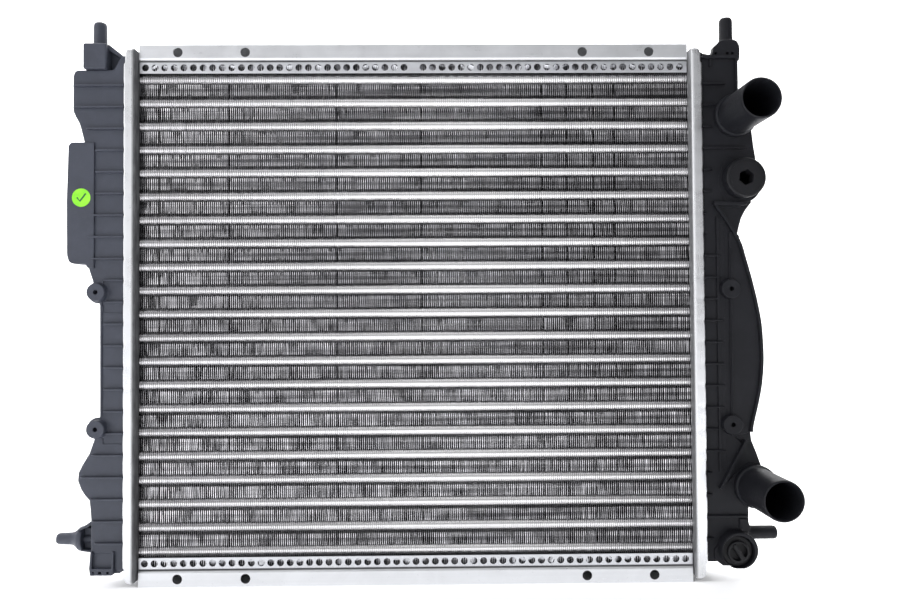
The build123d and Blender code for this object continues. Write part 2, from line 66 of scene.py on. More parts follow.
def make_camera():
    rx, ry, rz = CAM_R
    rot = (Matrix.Rotation(rz, 3, "Z") @ Matrix.Rotation(ry, 3, "Y") @ Matrix.Rotation(rx, 3, "X"))
    back = rot.transposed() @ (-CAM_T)          # in (x right, y down, z forward) axes

    def to_world(v):
        return Vector((v[0], v[2], -v[1]))

    right, down, forward = (to_world(rot[i]) for i in range(3))
    pos = W(*to_world(back))
    m = Matrix((right, -down, -forward)).transposed().to_4x4()
    m.translation = pos
    data = bpy.data.cameras.new("camera")
    data.sensor_width = 36.0
    data.lens = 796.0 / 900.0 * 36.0
    data.clip_start, data.clip_end = 0.01, 50.0
    cam = bpy.data.objects.new("camera", data)
    scene.collection.objects.link(cam)
    cam.matrix_world = m
    scene.camera = cam


make_camera()


# ------------------------------------------------------------------ mesh helpers (mm)
def round2d(pts, r, seg=4, only=None):
    """Rounds the corners of a closed outline."""
    out, n = [], len(pts)
    for i in range(n):
        p, a, b = Vector(pts[i]), Vector(pts[i - 1]), Vector(pts[(i + 1) % n])
        u, v = (a - p), (b - p)
        lu, lv = u.length, v.length
        rad = r[i] if isinstance(r, (list, tuple)) else r
        if lu < 1e-6 or lv < 1e-6:
            continue
        u, v = u / lu, v / lv
        ang = math.acos(max(-1.0, min(1.0, u.dot(v))))
        turn = math.pi - ang
        if rad <= 0 or turn < math.radians(7) or (only is not None and i not in only):
            out.append((p.x, p.y))
            continue
        t = min(rad / math.tan(ang / 2), 0.46 * lu, 0.46 * lv)
        q = t * math.tan(ang / 2)
        c = p + (u + v).normalized() * (q / math.sin(ang / 2))
        s, e = p + u * t - c, p + v * t - c
        a0, a1 = math.atan2(s.y, s.x), math.atan2(e.y, e.x)
        d = (a1 - a0 + math.pi) % (2 * math.pi) - math.pi
        k = max(2, int(math.ceil(abs(d) / (math.pi / 2) * seg)))
        for j in range(k + 1):
            w = a0 + d * j / k
            out.append((c.x + q * math.cos(w), c.y + q * math.sin(w)))
    return out


def circle(x, z, r, n=48, a0=0.0):
    return [(x + r * math.cos(a0 + 2 * math.pi * i / n), z + r * math.sin(a0 + 2 * math.pi * i / n))
            for i in range(n)]


def prism(pts, a0, a1, axis="Y", bevel=0.4, seg=2, ends="both"):
    """A closed solid: an outline in the two other axes, drawn out from a0 to a1, rims bevelled."""
    bm = bmesh.new()

    def at(u, v, a):
        return (u, a, v) if axis == "Y" else (a, u, v) if axis == "X" else (u, v, a)

    lo = [bm.verts.new(at(u, v, a0)) for u, v in pts]
    hi = [bm.verts.new(at(u, v, a1)) for u, v in pts]
    f0, f1 = bm.faces.new(lo), bm.faces.new(hi)
    n = len(pts)
    for i in range(n):
        j = (i + 1) % n
        bm.faces.new((lo[i], lo[j], hi[j], hi[i]))
    bmesh.ops.recalc_face_normals(bm, faces=bm.faces)
    if bevel:
        rim = set()
        if ends in ("both", "low"):
            rim |= set(f0.edges)
        if ends in ("both", "high"):
            rim |= set(f1.edges)
        bmesh.ops.bevel(bm, geom=list(rim), offset=bevel, offset_type="OFFSET", segments=seg,
                        profile=0.5, affect="EDGES", clamp_overlap=True)
    return bm


def rod(axis, c, r, a0, a1, bevel=0.4, n=48, seg=2, ends="both"):
    """A round bar: axis Y takes c=(x, z), axis X takes c=(y, z), axis Z takes c=(x, y)."""
    return prism(circle(c[0], c[1], r, n), a0, a1, axis, bevel, seg, ends)


def slab(x0, x1, y0, y1, z0, z1, bevel=0.4, seg=2):
    bm = bmesh.new()
    bmesh.ops.create_cube(bm, size=1.0)
    for v in bm.verts:
        v.co = ((x0 + x1) / 2 + v.co.x * abs(x1 - x0), (y0 + y1) / 2 + v.co.y * abs(y1 - y0),
                (z0 + z1) / 2 + v.co.z * abs(z1 - z0))
    if bevel:
        bmesh.ops.bevel(bm, geom=list(bm.edges), offset=bevel, offset_type="OFFSET", segments=seg,
                        profile=0.5, affect="EDGES", clamp_overlap=True)
    return bm


def lathe(axis, c, profile, n=48):
    """A closed turned solid about an axis along X, Y or Z through c; profile is (radius, place along the axis),
    starting and ending at radius 0."""
    bm = bmesh.new()
    rings = []
    for r, a in profile:
        if r <= 1e-6:
            p = {"Y": (c[0], a, c[1]), "X": (a, c[0], c[1]), "Z": (c[0], c[1], a)}[axis]
            rings.append([bm.verts.new(p)])
            continue
        ring = []
        for i in range(n):
            w = 2 * math.pi * i / n
            u, v = c[0] + r * math.cos(w), c[1] + r * math.sin(w)
            ring.append(bm.verts.new({"Y": (u, a, v), "X": (a, u, v), "Z": (u, v, a)}[axis]))
        rings.append(ring)
    for p, q in zip(rings, rings[1:]):
        for i in range(n):
            j = (i + 1) % n
            if len(p) == 1 and len(q) == 1:
                break
            if len(p) == 1:
                bm.faces.new((p[0], q[i], q[j]))
            elif len(q) == 1:
                bm.faces.new((p[i], q[0], p[j]))
            else:
                bm.faces.new((p[i], q[i], q[j], p[j]))
    bmesh.ops.recalc_face_normals(bm, faces=bm.faces)
    return bm


def ribbon(line, width):
    """An outline of constant width about a polyline."""
    pts = [Vector(p) for p in line]
    left, right = [], []
    for i, p in enumerate(pts):
        a = pts[max(i - 1, 0)]
        b = pts[min(i + 1, len(pts) - 1)]
        d = (b - a).normalized()
        nrm = Vector((-d.y, d.x)) * width / 2
        left.append(tuple(p + nrm))
        right.append(tuple(p - nrm))
    return left + right[::-1]


def temp(bm, name="t"):
    me = bpy.data.meshes.new(name)
    bm.to_mesh(me)
    bm.free()
    o = bpy.data.objects.new(name, me)
    scene.collection.objects.link(o)
    return o


def boolean(adds, cuts=(), keep=False):
    """Union of adds minus cuts, as a bmesh in mm."""
    base = temp(adds[0], "base")
    tools = []
    for op, group in (("UNION", adds[1:]), ("DIFFERENCE", cuts)):
        for b in group:
            t = temp(b)
            tools.append(t)
            m = base.modifiers.new("b", "BOOLEAN")
            m.operation, m.object, m.solver = op, t, "MANIFOLD"
    bpy.context.view_layer.update()
    dg = bpy.context.evaluated_depsgraph_get()
    me = bpy.data.meshes.new_from_object(base.evaluated_get(dg))
    for o in tools + [base]:
        old = o.data
        bpy.data.objects.remove(o)
        bpy.data.meshes.remove(old)
    bm = bmesh.new()
    bm.from_mesh(me)
    bpy.data.meshes.remove(me)
    return bm


def finish_mesh(name, bm, material, body, angle=38.0, weighted=True, replaces=(), clean=True):
    if clean:
        bmesh.ops.remove_doubles(bm, verts=bm.verts, dist=0.004)
        bmesh.ops.dissolve_degenerate(bm, edges=bm.edges, dist=0.002)
    me = bpy.data.meshes.new(name)
    bm.to_mesh(me)
    bm.free()
    me.transform(TO_ROW)
    me.polygons.foreach_set("use_smooth", [True] * len(me.polygons))
    me.set_sharp_from_angle(angle=math.radians(angle))
    me.materials.append(material)
    me.update()
    o = bpy.data.objects.new(name, me)
    scene.collection.objects.link(o)
    if weighted:
        w = o.modifiers.new("normals", "WEIGHTED_NORMAL")
        w.keep_sharp, w.weight, w.mode = True, 60, "FACE_AREA_WITH_ANGLE"
    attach(o, body)
    if replaces:
        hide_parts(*replaces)
    return o


# ------------------------------------------------------------------ material helpers
class Nodes:
    def __init__(self, name):
        self.mat = bpy.data.materials.new(name)
        self.mat.use_nodes = True
        self.nt = self.mat.node_tree
        self.nt.nodes.clear()
        self.out = self.nt.nodes.new("ShaderNodeOutputMaterial")
        self.bsdf = self.nt.nodes.new("ShaderNodeBsdfPrincipled")
        self.link(self.bsdf.outputs[0], self.out.inputs[0])
        self.coord = self.nt.nodes.new("ShaderNodeTexCoord").outputs["Object"]

    def link(self, a, b):
        self.nt.links.new(a, b)

    def mapped(self, scale, loc=(0, 0, 0), rot=(0, 0, 0)):
        m = self.nt.nodes.new("ShaderNodeMapping")
        m.inputs["Scale"].default_value = scale
        m.inputs["Location"].default_value = loc
        m.inputs["Rotation"].default_value = rot
        self.link(self.coord, m.inputs["Vector"])
        return m.outputs[0]

    def noise(self, scale=(1, 1, 1), detail=2.0, rough=0.5, distort=0.0, loc=(0, 0, 0), rot=(0, 0, 0)):
        n = self.nt.nodes.new("ShaderNodeTexNoise")
        n.inputs["Scale"].default_value = 1.0
        n.inputs["Detail"].default_value = detail
        n.inputs["Roughness"].default_value = rough
        n.inputs["Distortion"].default_value = distort
        self.link(self.mapped(scale, loc, rot), n.inputs["Vector"])
        return n.outputs["Fac"]

    def ramp(self, fac, stops, mode="LINEAR"):
        r = self.nt.nodes.new("ShaderNodeValToRGB")
        r.color_ramp.interpolation = mode
        el = r.color_ramp.elements
        while len(el) < len(stops):
            el.new(0.5)
        for e, (p, c) in zip(el, stops):
            e.position = p
            e.color = c if len(c) == 4 else (*c, 1.0)
        self.link(fac, r.inputs[0])
        return r.outputs[0]

    def grey(self, fac, a, b, lo=0.0, hi=1.0):
        """Maps fac from lo..hi to the range a..b."""
        m = self.nt.nodes.new("ShaderNodeMapRange")
        m.inputs["From Min"].default_value, m.inputs["From Max"].default_value = lo, hi
        m.inputs["To Min"].default_value, m.inputs["To Max"].default_value = a, b
        self.link(fac, m.inputs["Value"])
        return m.outputs[0]

    def mix(self, fac, a, b, blend="MIX"):
        m = self.nt.nodes.new("ShaderNodeMix")
        m.data_type, m.blend_type = "RGBA", blend
        for v, i in ((fac, 0), (a, 6), (b, 7)):
            if isinstance(v, (int, float)):
                m.inputs[i].default_value = v
            elif isinstance(v, (tuple, list)):
                m.inputs[i].default_value = v if len(v) == 4 else (*v, 1.0)
            else:
                self.link(v, m.inputs[i])
        return m.outputs[2]

    def math(self, op, a, b=0.0, c=None):
        m = self.nt.nodes.new("ShaderNodeMath")
        m.operation = op
        for v, i in ((a, 0), (b, 1), (c, 2)):
            if v is None:
                continue
            if isinstance(v, (int, float)):
                m.inputs[i].default_value = v
            else:
                self.link(v, m.inputs[i])
        return m.outputs[0]

    def xyz(self):
        s = self.nt.nodes.new("ShaderNodeSeparateXYZ")
        self.link(self.coord, s.inputs[0])
        return s.outputs

    def bump(self, height, strength, distance, normal=None):
        b = self.nt.nodes.new("ShaderNodeBump")
        b.inputs["Strength"].default_value = strength
        b.inputs["Distance"].default_value = distance
        self.link(height, b.inputs["Height"])
        if normal is not None:
            self.link(normal, b.inputs["Normal"])
        return b.outputs[0]

    def set(self, **values):
        names = {"color": "Base Color", "metal": "Metallic", "rough": "Roughness", "normal": "Normal",
                 "spec": "Specular IOR Level", "coat": "Coat Weight", "coat_rough": "Coat Roughness",
                 "aniso": "Anisotropic", "sheen": "Sheen Weight", "emission": "Emission Color",
                 "glow": "Emission Strength"}
        for k, v in values.items():
            s = self.bsdf.inputs[names[k]]
            if isinstance(v, (int, float)):
                s.default_value = v
            elif isinstance(v, (tuple, list)):
                s.default_value = v if len(v) == 4 else (*v, 1.0)
            else:
                self.link(v, s)
        return self


def moulded(name, colour, rough, grain=0.35, tint=0.12, seed=0.0, spec=0.4):
    """Glass-filled moulded plastic: fine matt grain, flow marks and faint scuffs."""
    n = Nodes(name)
    big = n.noise((26, 26, 26), 3, 0.55, 0.6, (seed, 1, 2))
    mid = n.noise((160, 160, 160), 3, 0.6, 0.2, (3, seed, 1))
    fine = n.noise((2300, 2300, 2300), 2, 0.6)
    grit = n.noise((900, 900, 900), 2, 0.6, 0.0, (5, 2, seed))
    dark = tuple(c * (1 - tint) for c in colour)
    light = tuple(c * (1 + tint) + 0.002 for c in colour)
    base = n.mix(n.grey(big, 0, 1, 0.3, 0.7), dark, light)
    base = n.mix(n.grey(mid, 0.0, 0.35, 0.45, 0.8), base, tuple(c * 1.35 + 0.004 for c in colour))
    # faint scuffs, drawn out in two directions
    s1 = n.noise((35, 35, 900), 4, 0.7, 0.3, (seed, 0, 0), (0, 0.35, 0.2))
    s2 = n.noise((700, 60, 30), 4, 0.7, 0.3, (0, seed, 0), (0, -0.5, 0.1))
    scuff = n.math("ADD", n.grey(s1, 0, 1, 0.64, 0.76), n.grey(s2, 0, 1, 0.66, 0.78))
    scuff = n.math("MINIMUM", scuff, 1.0)
    base = n.mix(n.math("MULTIPLY", scuff, 0.16), base, tuple(min(1, c * 2.0 + 0.012) for c in colour))
    ro = n.math("ADD", n.grey(grit, rough - 0.05, rough + 0.07, 0.3, 0.7), n.math("MULTIPLY", scuff, 0.08))
    ro = n.math("ADD", ro, n.grey(big, -0.04, 0.05, 0.3, 0.7))
    b = n.bump(fine, grain, 0.00006)
    b = n.bump(mid, 0.12, 0.00025, b)
    n.set(color=base, rough=ro, normal=b, spec=spec)
    return n.mat


def sheet_metal(name, colour, rough, along="X", brush=0.25, stain=0.10, dents=0.25, seed=0.0, dull=None):
    """Mill-finish aluminium sheet: rolling lines along one axis, handling marks, uneven gloss; dull, when given, paints
    shade in as a dark, matt patch.
    """
    n = Nodes(name)
    k = {"X": (14, 1500, 1500), "Z": (1500, 1500, 14), "Y": (1500, 14, 1500)}[along]
    k2 = {"X": (3, 260, 260), "Z": (260, 260, 3), "Y": (260, 3, 260)}[along]
    lines = n.noise(k, 4, 0.7, 0.0, (seed, 3, 1))
    wide = n.noise(k2, 3, 0.6, 0.1, (1, seed, 2))
    cloud = n.noise((34, 34, 34), 4, 0.6, 0.8, (seed, seed, 4))
    spots = n.noise((420, 420, 420), 3, 0.6, 0.3, (7, 1, seed))
    dark = tuple(c * (1 - stain) for c in colour)
    base = n.mix(n.grey(cloud, 0, 1, 0.3, 0.72), dark, colour)
    base = n.mix(n.grey(wide, 0.0, 0.5, 0.4, 0.75), base, tuple(c * 0.86 for c in colour))
    base = n.mix(n.grey(spots, 0.0, 0.5, 0.66, 0.78), base, tuple(c * 0.62 for c in colour))
    ro = n.math("ADD", n.grey(cloud, rough - 0.06, rough + 0.10, 0.3, 0.7), n.grey(lines, -0.05, 0.07, 0.3, 0.7))
    b = n.bump(lines, brush, 0.00004)
    b = n.bump(n.noise((55, 55, 55), 2, 0.5, 0.2, (2, seed, 5)), dents, 0.0009, b)
    b = n.bump(spots, 0.12, 0.0001, b)
    metal = 1.0
    if dull:
        # painted shade: the mask from dull turns the sheet dark, matt and not metallic
        mask, shade_tone = dull(n)
        base = n.mix(mask, base, shade_tone)
        ro = n.math("MAXIMUM", ro, n.math("MULTIPLY", mask, 0.7))
        metal = n.math("SUBTRACT", 1.0, mask)
    n.set(color=base, metal=metal, rough=ro, normal=b)
    return n.mat


def pan_painted_shade(n):
    """Painted shade: the floor of the header pan, down beside the fins, is made dull and dark, more on the left pan
    than on the right.
    """
    x = n.math("ABSOLUTE", n.math("ADD", n.xyz()[0], 0.0011))
    left = n.math("MULTIPLY", n.grey(x, 1.0, 0.0, 0.2160, 0.2180), n.grey(n.xyz()[0], 0.95, 0.0, -0.1, 0.1))
    right = n.math("MULTIPLY", n.grey(x, 1.0, 0.0, 0.2153, 0.2164), n.grey(n.xyz()[0], 0.0, 0.62, -0.1, 0.1))
    m = n.math("ADD", left, right)
    return n.math("MULTIPLY", m, n.grey(n.noise((180, 180, 60), 3, 0.6), 0.85, 1.0, 0.3, 0.6)), (0.050, 0.052, 0.056)


def channel_painted_shade(n):
    """Painted shade: the hollow side of the side plates' channel, and the face of the web down against the strip, are
    made dull and dark.
    """
    y = n.xyz()[1]
    a = n.grey(y, 0.0, 1.0, 0.01235, 0.01265)
    b = n.grey(y, 1.0, 0.0, 0.03800, 0.03815)
    z = n.math("ABSOLUTE", n.math("SUBTRACT", n.xyz()[2], 0.2097))
    c = n.grey(z, 0.0, 1.0, 0.19812, 0.19830)
    m = n.math("MULTIPLY", n.math("MULTIPLY", a, b), c)
    m = n.math("MAXIMUM", m, n.grey(z, 0.9, 0.0, 0.1974, 0.1982))
    return n.math("MULTIPLY", m, n.grey(n.noise((90, 90, 90), 3, 0.6), 0.88, 0.98, 0.3, 0.6)), (0.060, 0.062, 0.066)


def seam_painted_shade(n):
    """Painted shade in the joint between the end strips and the side plates."""
    z = n.math("ABSOLUTE", n.math("SUBTRACT", n.xyz()[2], 0.2097))
    m = n.grey(z, 0.0, 1.0, 0.1958, 0.1966)
    return n.math("MULTIPLY", m, n.grey(n.noise((60, 200, 200), 3, 0.6), 0.6, 0.95, 0.3, 0.6)), (0.045, 0.046, 0.052)


M = {}
M["left_plastic"] = moulded("tank_plastic_left", (0.050, 0.056, 0.077), 0.50, 0.35, 0.10, 1.3, 0.4)
M["right_plastic"] = moulded("tank_plastic_right", (0.0095, 0.0100, 0.0132), 0.50, 0.35, 0.12, 4.1, 0.20)
# the header pans carry painted shade on their floor beside the fins
M["header"] = sheet_metal("header_aluminium", (0.77, 0.78, 0.80), 0.27, "Z", 0.18, 0.05, 0.08, 2.0, pan_painted_shade)
# the side plates carry painted shade inside the channel and under the web
M["plate"] = sheet_metal("plate_aluminium", (0.84, 0.855, 0.88), 0.34, "X", 0.25, 0.10, 0.26, 5.0, channel_painted_shade)
# the end strips carry painted shade along their top edge, in the joint with the side plates
M["strip"] = sheet_metal("strip_aluminium", (0.76, 0.775, 0.81), 0.34, "X", 0.22, 0.16, 0.34, 8.0, seam_painted_shade)


def tube_material(name="tube_aluminium", bright=1.0, dull=0.0):
    """Bright drawn tube: faint haze, drawing lines along it, a faint mark at each fin; bright below 1 darkens it all,
    painted shade.
    """
    n = Nodes(name)
    x = n.xyz()[0]
    ph = n.math("MULTIPLY", x, 2 * math.pi / 0.0015)
    ring = n.grey(n.math("SINE", ph), 0, 1, -1, 1)
    ring = n.math("POWER", ring, 8.0)
    uneven = n.noise((300, 60, 60), 3, 0.6)
    draw = n.noise((6, 1300, 1300), 3, 0.6, 0.0, (0, 3, 0))
    haze = n.noise((26, 40, 40), 3, 0.6, 0.5)
    base = n.mix(n.grey(haze, 0, 1, 0.3, 0.7), tuple(bright * c for c in (0.90, 0.895, 0.90)), tuple(bright * c for c in (0.975, 0.97, 0.97)))
    base = n.mix(n.math("MULTIPLY", ring, n.grey(uneven, 0.02, 0.35, 0.42, 0.75)), base, tuple(bright * c for c in (0.55, 0.55, 0.56)))
    ro = n.math("ADD", n.grey(haze, 0.20 + dull, 0.27 + dull, 0.3, 0.7), n.grey(draw, 0.0, 0.05, 0.35, 0.7))
    b = n.bump(draw, 0.10, 0.00003)
    b = n.bump(uneven, 0.10, 0.00012, b)
    n.set(color=base, metal=1.0, rough=ro, normal=b)
    return n.mat


def fin_material():
    """Thin bright fins: each a little different in tone, with traces of dirt, painted shade between them and painted
    tube reflections and shadows along each gap.
    """
    n = Nodes("fin_aluminium")
    per = n.noise((760, 1, 5), 2, 0.6)
    streak = n.noise((300, 30, 26), 3, 0.65, 0.2, (4, 0, 0))
    dirt = n.noise((22, 22, 22), 3, 0.6, 0.8, (0, 6, 0))
    band = n.noise((9, 30, 520), 2, 0.5, 0.1, (3, 2, 0))
    base = n.mix(n.grey(per, 0, 1, 0.35, 0.65), (0.68, 0.675, 0.71), (0.88, 0.87, 0.90))
    base = n.mix(n.grey(band, 0.0, 0.45, 0.50, 0.66), base, (0.12, 0.12, 0.135))
    # painted shade deep between the fins, away from both faces of the core
    y = n.math("SUBTRACT", n.xyz()[1], 0.01325)
    fin_gap_shade = n.math("MULTIPLY", n.grey(y, 0.0, 0.60, 0.0008, 0.0045), n.grey(y, 1.0, 0.0, 0.0185, 0.0222))
    base = n.mix(fin_gap_shade, base, (0.10, 0.10, 0.112))
    # painted reflections of the tubes and painted shade under each tube, in rows along each gap between two tubes
    gap = n.math("DIVIDE", n.math("SUBTRACT", n.xyz()[2], 0.2097), 0.0184)
    sway = n.math("MULTIPLY", n.math("SUBTRACT", n.noise((5, 5, 42), 2, 0.5, 0.0, (9, 1, 3)), 0.5), 0.26)
    row = n.math("FRACT", n.math("ADD", n.math("ADD", gap, 40.0), sway))
    rows = n.ramp(row, [(0.00, (0.1, 0.1, 0.1)), (0.24, (0.15, 0.15, 0.15)), (0.29, (0.62, 0.62, 0.62)),
                        (0.39, (0.70, 0.70, 0.70)), (0.44, (0.12, 0.12, 0.12)), (0.55, (0.14, 0.14, 0.14)),
                        (0.60, (0.95, 0.95, 0.95)), (0.72, (0.90, 0.90, 0.90)), (0.76, (0.12, 0.12, 0.12)),
                        (1.00, (0.1, 0.1, 0.1))])
    depth = n.grey(n.noise((7, 7, 60), 2, 0.5, 0.0, (2, 8, 5)), 0.28, 0.92, 0.36, 0.62)
    # the painted rows are fainter towards the left, where the light comes from
    depth = n.math("MULTIPLY", depth, n.grey(n.xyz()[0], 0.55, 1.0, -0.20, 0.06))
    base = n.mix(n.math("MULTIPLY", n.grey(rows, 1.0, 0.0), depth), base, (0.095, 0.093, 0.103))
    base = n.mix(n.grey(streak, 0.0, 0.35, 0.45, 0.75), base, (0.24, 0.24, 0.27))
    base = n.mix(n.grey(dirt, 0.0, 0.18, 0.45, 0.75), base, (0.34, 0.32, 0.30))
    ro = n.grey(streak, 0.16, 0.27, 0.3, 0.7)
    b = n.bump(n.noise((90, 500, 500), 2, 0.5), 0.12, 0.0001)
    n.set(color=base, metal=1.0, rough=ro, normal=b)
    return n.mat


M["tube"] = tube_material()
# the rear row is a darker copy of the tube finish: painted shade deep in the core
M["tube_rear_shaded"] = tube_material("tube_aluminium_rear_shaded", 0.58, 0.14)
M["fin"] = fin_material()


def rubber_material():
    n = Nodes("rubber")
    g = n.noise((1400, 1400, 1400), 2, 0.6)
    base = n.mix(g, (0.012, 0.012, 0.012), (0.026, 0.025, 0.024))
    n.set(color=base, rough=n.grey(g, 0.55, 0.72, 0.3, 0.7), normal=n.bump(g, 0.3, 0.00006))
    return n.mat


M["rubber"] = rubber_material()
M["plug"] = moulded("plug_plastic", (0.0088, 0.0090, 0.0112), 0.44, 0.25, 0.10, 6.2, 0.22)
M["drain"] = moulded("drain_plastic", (0.008, 0.0082, 0.010), 0.40, 0.25, 0.10, 9.4, 0.22)
M["divider"] = moulded("divider_plastic", (0.03, 0.03, 0.03), 0.5, 0.3, 0.1, 3.3)
M["turbulator"] = moulded("turbulator_plastic", (0.62, 0.62, 0.56), 0.45, 0.2, 0.06, 2.7)


def sticker_material():
    """A glossy printed label: bright yellow-green, paler in broad patches, with fine darker flecks."""
    n = Nodes("sticker")
    g = n.noise((700, 700, 700), 2, 0.6)
    wash = n.noise((90, 90, 90), 2, 0.5, 0.5)
    base = n.mix(n.grey(wash, 0, 1, 0.3, 0.7), (0.22, 0.78, 0.015), (0.36, 0.93, 0.04))
    base = n.mix(n.grey(g, 0, 0.2, 0.5, 0.8), base, (0.18, 0.62, 0.02))
    n.set(color=base, rough=n.grey(g, 0.32, 0.42, 0.3, 0.7), normal=n.bump(g, 0.08, 0.00005))
    return n.mat


M["sticker"] = sticker_material()


def ink_material():
    n = Nodes("sticker_ink")
    g = n.noise((1200, 1200, 1200), 2, 0.6)
    n.set(color=n.mix(g, (0.010, 0.11, 0.03), (0.02, 0.16, 0.045)), rough=0.4)
    return n.mat


M["ink"] = ink_material()

# ------------------------------------------------------------------ shared dimensions (mm)
TANK_Y0, TANK_Y1 = -4.8, 27.8
RIB_Y0, RIB_Y1 = -7.5, 30.5
PORT = (253.9, 102.0)
DRAIN = (244.8, -183.3)
NECK_UP, NECK_LOW = (250.0, 152.0), (262.0, -135.6)
front_z = [18.4 * (10 - k) for k in range(21)]
rear_z = [18.4 * (9.5 - k) for k in range(20)]


def rib_z(k):
    return 177.0 - 16.76 * k


def rib(s, x1, z, t=1.5):
    """A rib that wraps the tank, with sloping ends."""
    a, b = 224.0, x1
    pts = [(s * a, RIB_Y0), (s * (b - 3.4), RIB_Y0), (s * (b - 0.6), RIB_Y0 + 2.2), (s * b, RIB_Y0 + 3.2),
           (s * b, RIB_Y1 - 3.2), (s * (b - 0.6), RIB_Y1 - 2.2), (s * (b - 3.4), RIB_Y1), (s * a, RIB_Y1)]
    return prism(pts, z - t / 2, z + t / 2, "Z", 0.45, 2)


def foot(s):
    pts = round2d([(-6.4, -203.4), (29.4, -203.4), (29.4, 203.4), (-6.4, 203.4)], 6.4, 5)
    return prism(pts, min(s * 218.1, s * 222.0), max(s * 218.1, s * 222.0), "X", 0.2, 1)


def flare(c, r0, r1, y0, y1, n=64):
    """A concave fillet round a boss or neck: r1 wide at y1, falling to r0 at y0."""
    prof = [(0, y0)]
    for j in range(7):
        w = j / 6 * math.pi / 2
        prof.append((r0 + (r1 - r0) * (1 - math.cos(w)), y0 + (y1 - y0) * math.sin(w)))
    prof += [(r1, y1 + 1.0), (0, y1 + 1.0)]
    return lathe("Y", c, prof, n)


# ------------------------------------------------------------------ right tank
duct_r = [(218.1, -193.5), (246.0, -193.5), (256.8, -176.0), (256.8, -153.2), (259.0, -138.0),
          (262.5, -122.0), (259.5, -108.0), (248.0, -98.0), (246.0, -90.0), (246.0, 62.0),
          (250.0, 78.0), (262.0, 88.0), (266.0, 112.0), (266.0, 120.0), (264.6, 128.5), (263.2, 141.0),
          (252.6, 175.5), (253.3, 198.0), (218.1, 199.0)]
cavity_r = [(214.1, -190.5), (244.5, -190.5), (253.6, -174.8), (253.8, -153.2), (256.0, -138.0),
            (259.3, -122.0), (256.9, -109.4), (245.6, -100.0), (243.0, -91.0), (243.0, 62.6),
            (247.4, 80.0), (259.4, 90.0), (263.0, 112.5), (263.0, 120.0), (261.6, 128.0),
            (260.3, 140.4), (249.6, 175.0), (250.2, 195.0), (214.1, 196.0)]
wing_out = [(251.5, 59.1), (253.5, 50.3), (255.9, 41.4), (259.9, 26.9), (262.7, 15.3), (264.8, 5.9),
            (267.6, -10.8), (268.7, -29.5), (268.6, -41.9), (267.1, -57.4), (264.2, -72.0),
            (260.9, -85.4), (259.6, -93.5)]
rib_ends_r = {0: 243.0, 1: 235.5, 2: 232.5, 3: 258.5, 4: 232.0, 5: 232.0, 6: 227.0, 7: 227.0,
              8: 238.5, 9: 238.5, 10: 236.0, 11: 240.0, 12: 240.0, 13: 240.0, 14: 240.0, 15: 240.0,
              16: 236.0, 17: 240.0, 18: 229.0, 19: 229.0, 20: 256.6, 21: 230.0}


def smooth_open(pts, n=3):
    """Catmull-Rom through open points, so a curved outline has no corners."""
    P = [Vector(p) for p in pts]
    P = [P[0] * 2 - P[1]] + P + [P[-1] * 2 - P[-2]]
    out = []
    for i in range(1, len(P) - 2):
        a, b, c, d = P[i - 1:i + 3]
        for j in range(n):
            t = j / n
            q = 0.5 * ((2 * b) + (c - a) * t + (2 * a - 5 * b + 4 * c - d) * t * t + (3 * b - a - 3 * c + d) * t ** 3)
            out.append((q.x, q.y))
    out.append((P[-2].x, P[-2].y))
    return out


wing_curve = smooth_open(wing_out, 3)


def screw_boss(x, z, r, y1):
    return [rod("Y", (x, z), r, -11.0, y1, 0.7, 40, 3),
            flare((x, z), r - 0.1, r + 1.6, -7.2, TANK_Y0 + 0.2, 40)]


